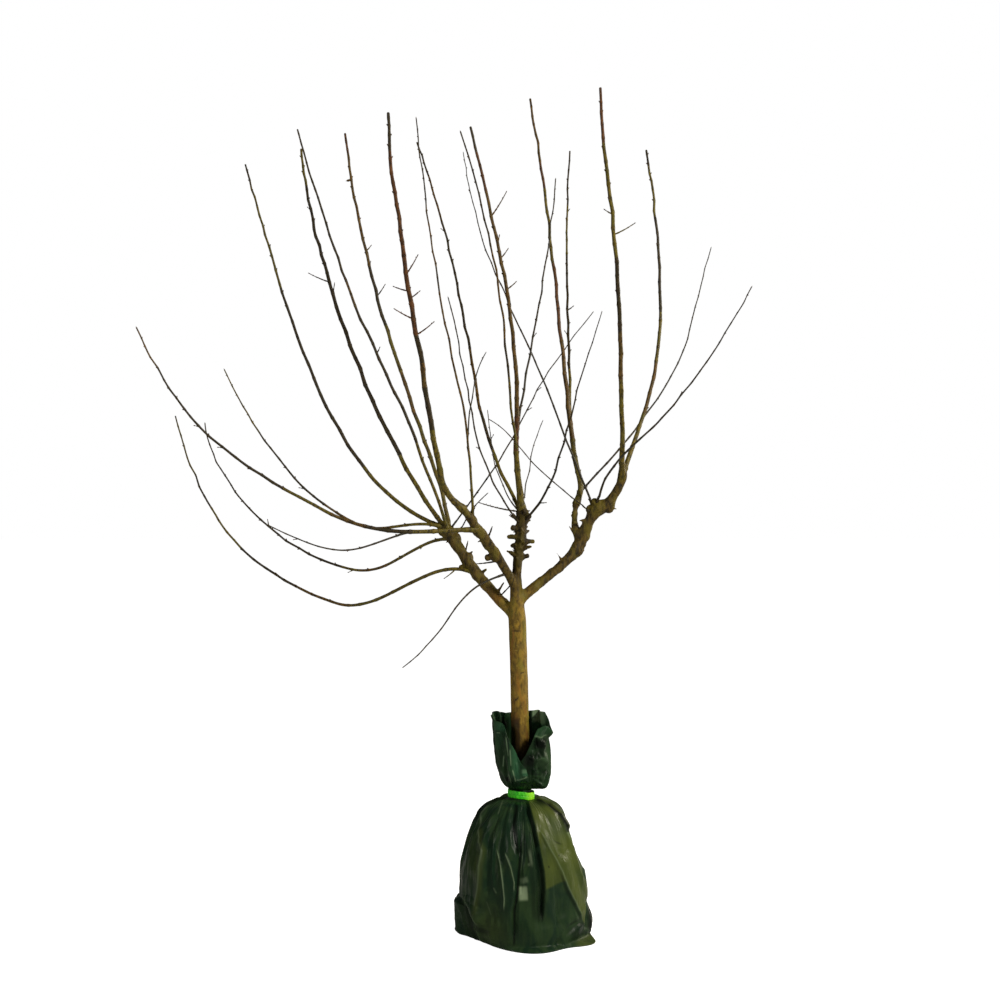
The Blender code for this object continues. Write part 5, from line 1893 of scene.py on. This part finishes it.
@dataclass
class Collar:
    """The loose film above the tie: one sheet wrapped round, its left edge over its right."""

    finish: bpy.types.Material
    foot_radius: float = 0.0262
    waist_radius: float = 0.063
    top_radius: float = 0.065
    tied: float = 0.112
    top: float = 0.553
    wall: float = 0.0008
    lop_low: float = 0.014
    lop_top: float = -0.003
    sag: float = 0.044
    curl: float = 0.022
    start: float = -74.0
    lap: float = 24.0
    sides: int = 420
    rings: int = 110
    folds: int = 46
    # crumples: size in mm, how fine each way and place in the noise
    crumples: tuple = ((2.8, (28.0, 28.0, 20.0), 4.4), (0.9, (52.0, 52.0, 34.0), 2.7))
    # the rim: turn in degrees and height
    rim_stops: tuple = ((-74, 0.404), (-80, 0.424), (-90, 0.438), (-98, 0.4515), (-108, 0.480),
                        (-124, 0.522), (-134, 0.532), (-150, 0.536), (-163, 0.548), (-178, 0.553),
                        (-215, 0.552), (-250, 0.544), (-300, 0.552), (-338, 0.5545), (-358, 0.5535),
                        (-363, 0.530), (-369, 0.508), (-375, 0.510), (-383, 0.524), (-398, 0.526),
                        (-409, 0.520), (-417, 0.503), (-425, 0.486), (-433, 0.470), (-440, 0.456),
                        (-448, 0.444), (-458, 0.420))
    glints: tuple = (
        Glint(((-43.1, 503.8), (-36.9, 452.1)), 1.3, 0.85),
        Glint(((-47.8, 454.6), (-50, 422.6)), 1.1, 0.70),
        Glint(((-33.3, 474.3), (-30.5, 427.5)), 1.1, 0.65),
        Glint(((-27.1, 422.6), (-18, 388.1)), 1.2, 0.80),
        Glint(((-66, 508), (-57, 508)), 1.1, 0.65),
        Glint(((11.1, 405.4), (-19.7, 393)), 1.6, 0.40),
        Glint(((-37, 410), (-29, 385)), 1.0, 0.55), Patch(2, 418, 7, 5, 0.22),
    )
    curl_glints: tuple = (
        Glint(((27, 503), (43.3, 497), (61, 502)), 1.7, 0.50),
        Patch(45.3, 436.1, 20, 15, 0.05), Patch(56, 465, 5, 35, 0.12),
        Glint(((25, 456), (33, 464), (42, 456)), 1.2, 0.16),
        Glint(((33, 440), (48, 448), (58, 443)), 1.3, 0.22),
    )
    # painted shade in the left leaf's folds and its lower corner
    left_leaf_shade: tuple = (
        Patch(-38.4, 393, 6, 7, 0.9, 0.5), Patch(-54.2, 450, 6, 38, 0.40, -0.12),
        Patch(-41, 440, 3, 30, 0.45, -0.08), Patch(-26, 395, 3, 13, 0.5, -0.3),
    )
    # painted shade under the right flap's curl and in its folds
    curl_shade: tuple = (
        Patch(41, 481, 20, 14, 1.0), Patch(15, 443, 18, 20, 0.95),
        Patch(40, 459, 16, 11, 0.75), Patch(50, 420, 12, 15, 0.40),
        Patch(10, 420, 10, 6, 0.60),
        Patch(42, 423, 17, 3, 0.5, 0.3), Patch(30, 408, 20, 3, 0.4, -0.2),
    )
    # painted light: pale teal facets on the left leaf
    lit_teal: tuple = (Patch(4.2, 415.2, 10, 9, 1.0), Patch(-56.6, 524, 15, 12, 0.75),
                   Patch(-60, 490, 8, 30, 0.25))
    # painted light on the shaded inner wall: teal and olive patches
    inner_lit_teal: tuple = (Patch(38, 513, 16, 25, 1.0), Patch(-56, 542, 16, 11, 0.5))
    inner_lit_olive: tuple = (Patch(41, 542, 17, 19, 1.0, 0.0, 8),)
    # painted shade on the inner wall beside the trunk and behind the left leaf
    inner_shade: tuple = (Patch(19, 520, 4.5, 40, 0.80), Patch(-46, 515, 9, 14, 0.8))
    creases: tuple = (
        Crease(((-64, 505), (-48, 440), (-36, 380)), -4.0, 7, 5, blunt=0.04),
        Crease(((-47, 520), (-40, 460), (-29, 400), (-20, 366)), 4.0, 8, 3, blunt=0.03),
        Crease(((-36, 500), (-30, 450), (-25, 400), (-13, 368)), 3.6, 5, 14, blunt=0.03),
        Crease(((-54, 470), (-42, 420), (-33, 372)), 3.0, 5, 4, blunt=0.04),
        Crease(((-18, 440), (-13, 405), (-10, 372)), 3.0, 4, 9, blunt=0.04),
        Crease(((5, 410), (-6, 392), (-8, 370)), 3.5, 6, 6, blunt=0.05),
        Crease(((30, 500), (40, 470), (62, 455)), -6.0, 12, 9, blunt=0.1),
        Crease(((12, 455), (27, 440), (42, 447), (60, 430)), 5.0, 6, 10, blunt=0.06),
        Crease(((18, 425), (33, 412), (48, 420), (62, 400)), 4.0, 7, 7, blunt=0.06),
        Crease(((23, 400), (38, 392), (56, 380)), -4.0, 7, 8, blunt=0.06),
        Crease(((22, 470), (18, 440), (30, 400), (33, 372)), 4.0, 8, 8, blunt=0.06),
        Crease(((48, 490), (52, 450), (50, 410)), 4.5, 7, 5, blunt=0.06),
    )

    def body(self, turn: np.ndarray, share: np.ndarray) -> tuple:
        """The collar's plain form: wide and slack over the tie, hanging out to the right.

        Args:
            turn: The turn round the neck in degrees, one a column.
            share: The share of the way up from the tie, one a row.

        Returns:
            The radius and the height of each place.
        """
        angle = np.radians(turn)
        stops = np.array(self.rim_stops)[::-1]
        rim = np.interp(turn, stops[:, 0], stops[:, 1])
        rim = rim + 0.0012 * np.sin(7 * angle + 1) + 0.0008 * np.sin(17 * angle)
        low = NECK_HEIGHT + GAP + 0.0022
        loose = np.clip(share - 2 * self.tied, 0, None) / (1 - 2 * self.tied)
        spread = self.waist_radius + (self.top_radius - self.waist_radius) * share
        clear = np.clip(share - self.tied, 0, None)
        opening = 1 - (1 - clear) ** 8
        radius = self.foot_radius + (spread - self.foot_radius) * opening
        radius = radius + 0.0055 * np.minimum(1, 2.2 * loose) * pleat(angle, 9, 1.1)
        radius = radius + 0.003 * hump(turn_off(angle, 0), 0, 0.7) * hump(share, 0.50, 0.20)
        radius = radius - 0.014 * hump(turn, -350, 13) * smooth_step(share, 0.6, 1.0)
        filled = np.where(np.cos(angle) > 0, smooth_step(clear, 0.14, 0.42),
                          np.minimum(1, 5 * clear))
        lop = self.lop_low + (self.lop_top - self.lop_low) * share
        radius = radius + lop * filled * np.cos(angle)
        hang = hump(turn_off(angle, 0), 0, 0.8) + 0.3 * hump(turn_off(angle, math.pi), 0, 0.7)
        sag = self.sag * hang * np.sin(math.pi * np.minimum(1, clear / 0.6))
        height = low + (self.top - low) * share - sag - (self.top - rim) * loose
        return radius, height

    def folded(self, radius: np.ndarray, angle: np.ndarray, share: np.ndarray) -> np.ndarray:
        """Add seeded folds that run up from the tie.

        Args:
            radius: The radius of each place.
            angle: The angle round the neck, one a column.
            share: The share of the way up, one a row.

        Returns:
            The folded radius.
        """
        rule = random.Random(f"{SEED} collar folds")
        for number in range(self.folds):
            at = -math.pi + 2 * math.pi * (number + rule.uniform(-0.4, 0.4)) / self.folds
            drift = rule.uniform(-0.25, 0.25)
            proud = rule.choice((-1, 1)) * rule.uniform(0.8, 2.6) * MM
            left, right = rule.uniform(2, 8) * MM, rule.uniform(2, 8) * MM
            end = rule.uniform(0.4, 1.3)
            off = turn_off(angle, at + drift * share) * radius
            wide = np.where(off < 0, left, right)
            span = smooth_step(share, 0.06, 0.18) * (1 - smooth_step(share, end - 0.35, end))
            radius = radius + proud * tent(off / wide, 0.06) * span
        return radius

    def lapped(self, radius: np.ndarray, turn: np.ndarray, share: np.ndarray) -> np.ndarray:
        """Part the two edges that lap in front, and curl the right flap and the left corner.

        Args:
            radius: The radius of each place.
            turn: The turn round the neck in degrees, one a column.
            share: The share of the way up, one a row.

        Returns:
            The new radius.
        """
        gone = self.start - turn
        rising = smooth_step(share, 0.05, 0.2)
        radius = radius - 0.0060 * smooth_step(gone, 300, 365) * rising
        radius = radius + 0.0035 * (1 - smooth_step(gone, 0, 30)) * rising
        flap = hump(turn, -374, 12) + 0.45 * hump(turn, -398, 16)
        radius = radius + self.curl * flap * smooth_step(share, 0.78, 1.0) ** 1.5
        return radius + 0.008 * hump(turn, -170, 12) * smooth_step(share, 0.85, 1.0)

    def crumpled(self, grid: np.ndarray, turn: np.ndarray, share: np.ndarray) -> np.ndarray:
        """How far crumples and the named creases lift the film.

        Args:
            grid: The places.
            turn: The turn round the neck in degrees, one a column.
            share: The share of the way up, one a row.

        Returns:
            The lift of each place in metres.
        """
        flat, shape = grid.reshape(-1, 3), grid.shape[:2]
        crumple = 1 + 1.3 * hump(turn, -395, 45) * smooth_step(share, 0.1, 0.3)
        lift = np.zeros(shape)
        for size, scale, shift in self.crumples:
            lift += size * MM * ridged(flat, scale, shift).reshape(shape) * crumple
        front = (grid[:, :, 1] < 0) & (self.start - turn < 362)
        for one in self.creases:
            lift += one.lift(grid[:, :, 0], grid[:, :, 2]) * front
        return lift * smooth_step(share, 0.06, 0.2)

    def marks(self, grid: np.ndarray, turn: np.ndarray, share: np.ndarray) -> dict:
        """Painted light, highlights and shade on the left leaf, the inner wall and the right flap.

        Args:
            grid: The places.
            turn: The turn round the neck in degrees, one a column.
            share: The share of the way up, one a row.

        Returns:
            The three masks by name, from 0 to 1.
        """
        x, z = grid[:, :, 0], grid[:, :, 2]
        left, right = turn > -185, turn < -362
        far = smooth_step(grid[:, :, 1], -0.005, 0.025)
        # painted light: a lit facet and teal patches on the left leaf, and on the inner wall
        lit_facet = hump(turn, -100, 10) * smooth_step(share, 0.2, 0.4)
        thin = np.where(left, np.maximum(lit_facet, covered(self.lit_teal, x, z)),
                        covered(self.inner_lit_teal, x, z) * far)
        # painted light along the top of the right flap's curl
        lit_curl = 0.3 * smooth_step(z, 0.498, 0.503) * smooth_step(-turn, 374, 380)
        thin = np.where(right, lit_curl, thin)
        warm = np.where(left, covered(self.glints, x, z), covered(self.inner_lit_olive, x, z) * far)
        warm = np.where(right, covered(self.curl_glints, x, z), warm)
        painted_shade = np.where(left, covered(self.left_leaf_shade, x, z), covered(self.inner_shade, x, z))
        painted_shade = np.where(right, covered(self.curl_shade, x, z), painted_shade)
        # painted shade low on the front left, just above the tie
        tie_shade = 0.9 * hump(share, 0.10, 0.05) * hump(turn_off(np.radians(turn), -1.9), 0, 0.5)
        return {"thin": thin, "warm": warm, "shade": np.maximum(painted_shade, tie_shade)}

    def build(self) -> bpy.types.Object:
        """Make the collar.

        Returns:
            The collar piece.
        """
        turn = np.linspace(self.start, self.start - 360 - self.lap, self.sides)[None, :]
        angle = np.radians(turn)
        share = np.linspace(0, 1, self.rings)[:, None] ** 1.15
        radius, height = self.body(turn, share)
        radius = self.lapped(self.folded(radius, angle, share), turn, share)
        grid = np.stack([NECK_ASIDE + radius * np.cos(angle), radius * np.sin(angle), height],
                        axis=-1)
        lift = self.crumpled(grid, turn, share)
        grid = grid + np.stack([np.cos(angle) * lift, np.sin(angle) * lift, 0 * lift], axis=-1)
        mesh = sheet_mesh("bag_collar_film", grid[:, ::-1], closed=False)
        item = put("bag_collar_film", mesh)
        for key, values in self.marks(grid, turn, share).items():
            note(item.data, key, (np.clip(values, 0, 1) + 0 * radius)[:, ::-1])
        wall = item.modifiers.new("wall", "SOLIDIFY")
        wall.thickness = self.wall
        wall.offset = 0.0
        settle(item)
        item.data.materials.append(self.finish)
        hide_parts("bag_collar")
        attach(item, "root")
        return item


@dataclass
class TieTape:
    """Stretched green tape wound twice round the neck, with puckers, that sits a little askew."""

    finish: bpy.types.Material
    inside: float = 0.0290
    outside: float = 0.0328
    height: float = 0.0182
    middle: float = 0.3512
    askew: float = 0.0034
    sides: int = 200

    def build(self) -> bpy.types.Object:
        """Make the tape.

        Returns:
            The tape piece.
        """
        angle = np.linspace(-math.pi, math.pi, self.sides, endpoint=False)[None, :]
        section = [(self.inside, 0.0), (self.outside - 0.0006, 0.0), (self.outside, 0.05)]
        section += [(self.outside + 0.0004 * math.sin(math.pi * s), s)
                    for s in np.linspace(0.12, 0.44, 7)]
        section += [(self.outside - 0.0006, 0.47), (self.outside + 0.0002, 0.50)]
        section += [(self.outside + 0.0005 * math.sin(math.pi * s), s)
                    for s in np.linspace(0.56, 0.9, 7)]
        section += [(self.outside, 0.95), (self.outside - 0.0006, 1.0), (self.inside, 1.0)]
        section = np.array(section)
        radius, share = section[:, :1], section[:, 1:]
        outer = smooth_step(radius, self.inside, self.outside)
        pucker = np.sin(angle * 41 + 2 * np.sin(angle * 5)) * 0.00030
        pucker = pucker + np.sin(angle * 23 + 6 * share) * 0.00030
        radius = radius + outer * (pucker + 0.0010 * hump(turn_off(angle, -0.6), 0, 0.5))
        wavy = 0.0007 * np.sin(3 * angle + 0.6) + 0.0004 * np.sin(8 * angle)
        z = self.middle + self.height * (share - 0.5) - self.askew * np.cos(angle) + wavy
        grid = np.stack([NECK_ASIDE + 0.0012 + radius * np.cos(angle), radius * np.sin(angle),
                         z + 0 * radius], axis=-1)
        grid = np.concatenate([grid, grid[:1]])
        mesh = sheet_mesh("tie_tape_film", grid)
        item = put("tie_tape_film", mesh)
        # painted highlight on the tape's front right, facing the key lamp
        painted_highlight = hump(turn_off(angle, math.radians(-38)), 0, 0.45) + 0 * radius
        note(mesh, "thin", np.concatenate([painted_highlight, painted_highlight[:1]]))
        mesh.materials.append(self.finish)
        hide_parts("tie_tape")
        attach(item, "root")
        return item


# ---------------------------------------------------------------- studio

@dataclass(frozen=True)
class Lamp:
    """A soft round lamp: its place, the height it points at, its size, power and colour."""

    name: str
    place: tuple
    aim_height: float
    size: float
    power: float
    colour: tuple

    def hang(self) -> None:
        """Hang the lamp so that it points at the plant."""
        data = bpy.data.lights.new(self.name, "AREA")
        data.shape = "DISK"
        data.size, data.energy, data.color = self.size, self.power, self.colour
        item = put(self.name, data)
        item.location = self.place
        way = Vector((0, 0, self.aim_height)) - Vector(self.place)
        item.rotation_euler = way.to_track_quat("-Z", "Y").to_euler()


@dataclass
class Studio:
    """The camera, a pale floor and plain soft light."""

    eye: tuple = (VIEW_ASIDE, -VIEW_AWAY, VIEW_HEIGHT)
    lens: float = 57.6
    sensor: float = 36.0
    floor_reach: float = 40.0
    floor_grey: float = 0.60
    floor_glow: float = 0.97
    sky: tuple = (1.0, 1.0, 0.97, 1.0)
    sky_strength: float = 0.09
    lamps: tuple = (
        Lamp("key_light", (3.0, -2.6, 3.2), 0.9, 0.9, 250, (1.0, 0.95, 0.84)),
        Lamp("fill_light", (-3.4, -2.8, 2.0), 0.9, 1.2, 66, (1.0, 0.97, 0.90)),
        Lamp("side_light", (2.6, 1.4, 1.6), 0.8, 1.2, 60, (1.0, 0.93, 0.76)),
    )

    def camera(self) -> None:
        """Place the level camera."""
        data = bpy.data.cameras.new("camera")
        data.lens = self.lens
        data.sensor_width = self.sensor
        item = put("camera", data)
        item.location = self.eye
        item.rotation_euler = (math.radians(90), 0, 0)
        bpy.context.scene.camera = item

    def floor(self) -> None:
        """Lay a wide pale floor."""
        reach = self.floor_reach
        mesh = bpy.data.meshes.new("floor")
        corners = [(-reach, -reach, 0), (reach, -reach, 0), (reach, reach, 0), (-reach, reach, 0)]
        mesh.from_pydata(corners, [], [(0, 1, 2, 3)])
        finish, wire, shader = start_finish("pale_floor")
        shader.inputs["Base Color"].default_value = (*[self.floor_grey] * 3, 1.0)
        shader.inputs["Roughness"].default_value = 0.9
        in_view = wire.add("ShaderNodeLightPath").outputs["Is Camera Ray"]
        glow = wire.math("MULTIPLY", in_view, self.floor_glow)
        lit = wire.add("ShaderNodeEmission", {"Color": (1.0, 1.0, 1.0, 1.0), "Strength": glow})
        both = wire.add("ShaderNodeAddShader", {0: shader.outputs[0], 1: lit.outputs[0]})
        output = finish.node_tree.nodes["Material Output"]
        finish.node_tree.links.new(both.outputs[0], output.inputs["Surface"])
        mesh.materials.append(finish)
        put("floor", mesh)

    def light(self) -> None:
        """Hang the lamps and set the surrounding light."""
        for lamp in self.lamps:
            lamp.hang()
        world = bpy.data.worlds.new("studio")
        world.use_nodes = True
        bpy.context.scene.world = world
        wire = Wiring(world.node_tree)
        world.node_tree.nodes.clear()
        plain = wire.add("ShaderNodeBackground", {"Color": self.sky, "Strength": self.sky_strength})
        white = wire.add("ShaderNodeBackground", {"Color": (1.0, 1.0, 1.0, 1.0), "Strength": 1.0})
        in_view = wire.add("ShaderNodeLightPath").outputs["Is Camera Ray"]
        shades = {0: in_view, 1: plain.outputs[0], 2: white.outputs[0]}
        mix = wire.add("ShaderNodeMixShader", shades)
        wire.add("ShaderNodeOutputWorld", {"Surface": mix.outputs[0]})
        bpy.context.scene.view_settings.view_transform = "Standard"

    def build(self) -> None:
        """Set up the whole studio."""
        self.camera()
        self.floor()
        self.light()


# ---------------------------------------------------------------- the whole plant

CROWN = {
    "twigs_left": ("shoot_left_outer", "shoot_left_back", "shoot_left_middle", "shoot_left_inner",
                   "shoot_left_short", "shoot_crossing_right", "shoot_arc_middle", "shoot_arc_back",
                   "shoot_arc_low"),
    "twigs_front": ("shoot_front_tall", "shoot_front_second", "shoot_arc_front", "shoot_hanging"),
    "twigs_centre": ("shoot_centre", "shoot_centre_back", "shoot_centre_front",
                     "shoot_centre_right", "shoot_centre_short", "shoot_centre_thin"),
    "twigs_right": ("shoot_right_tall", "shoot_right_inner", "shoot_right_wide",
                    "shoot_crossing_left", "shoot_crossing_front"),
}


def report(item: bpy.types.Object) -> None:
    """Log a piece's name and size."""
    LOG.info("%s: %d vertices, %d faces", item.name, len(item.data.vertices),
             len(item.data.polygons))


def main() -> None:
    """Build the plant and its studio."""
    logging.basicConfig(level=logging.INFO, format="%(name)s %(message)s")
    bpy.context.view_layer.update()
    Studio().build()
    finishes = make_finishes()
    courses = all_courses()
    report(Wood(finishes.stem, courses).build())
    for name, members in CROWN.items():
        report(Sprays(name, members, finishes, courses).build())
    report(BagBall(finishes.bag).build())
    report(Collar(finishes.collar).build())
    report(TieTape(finishes.tape).build())


if __name__ == "__main__":
    main()
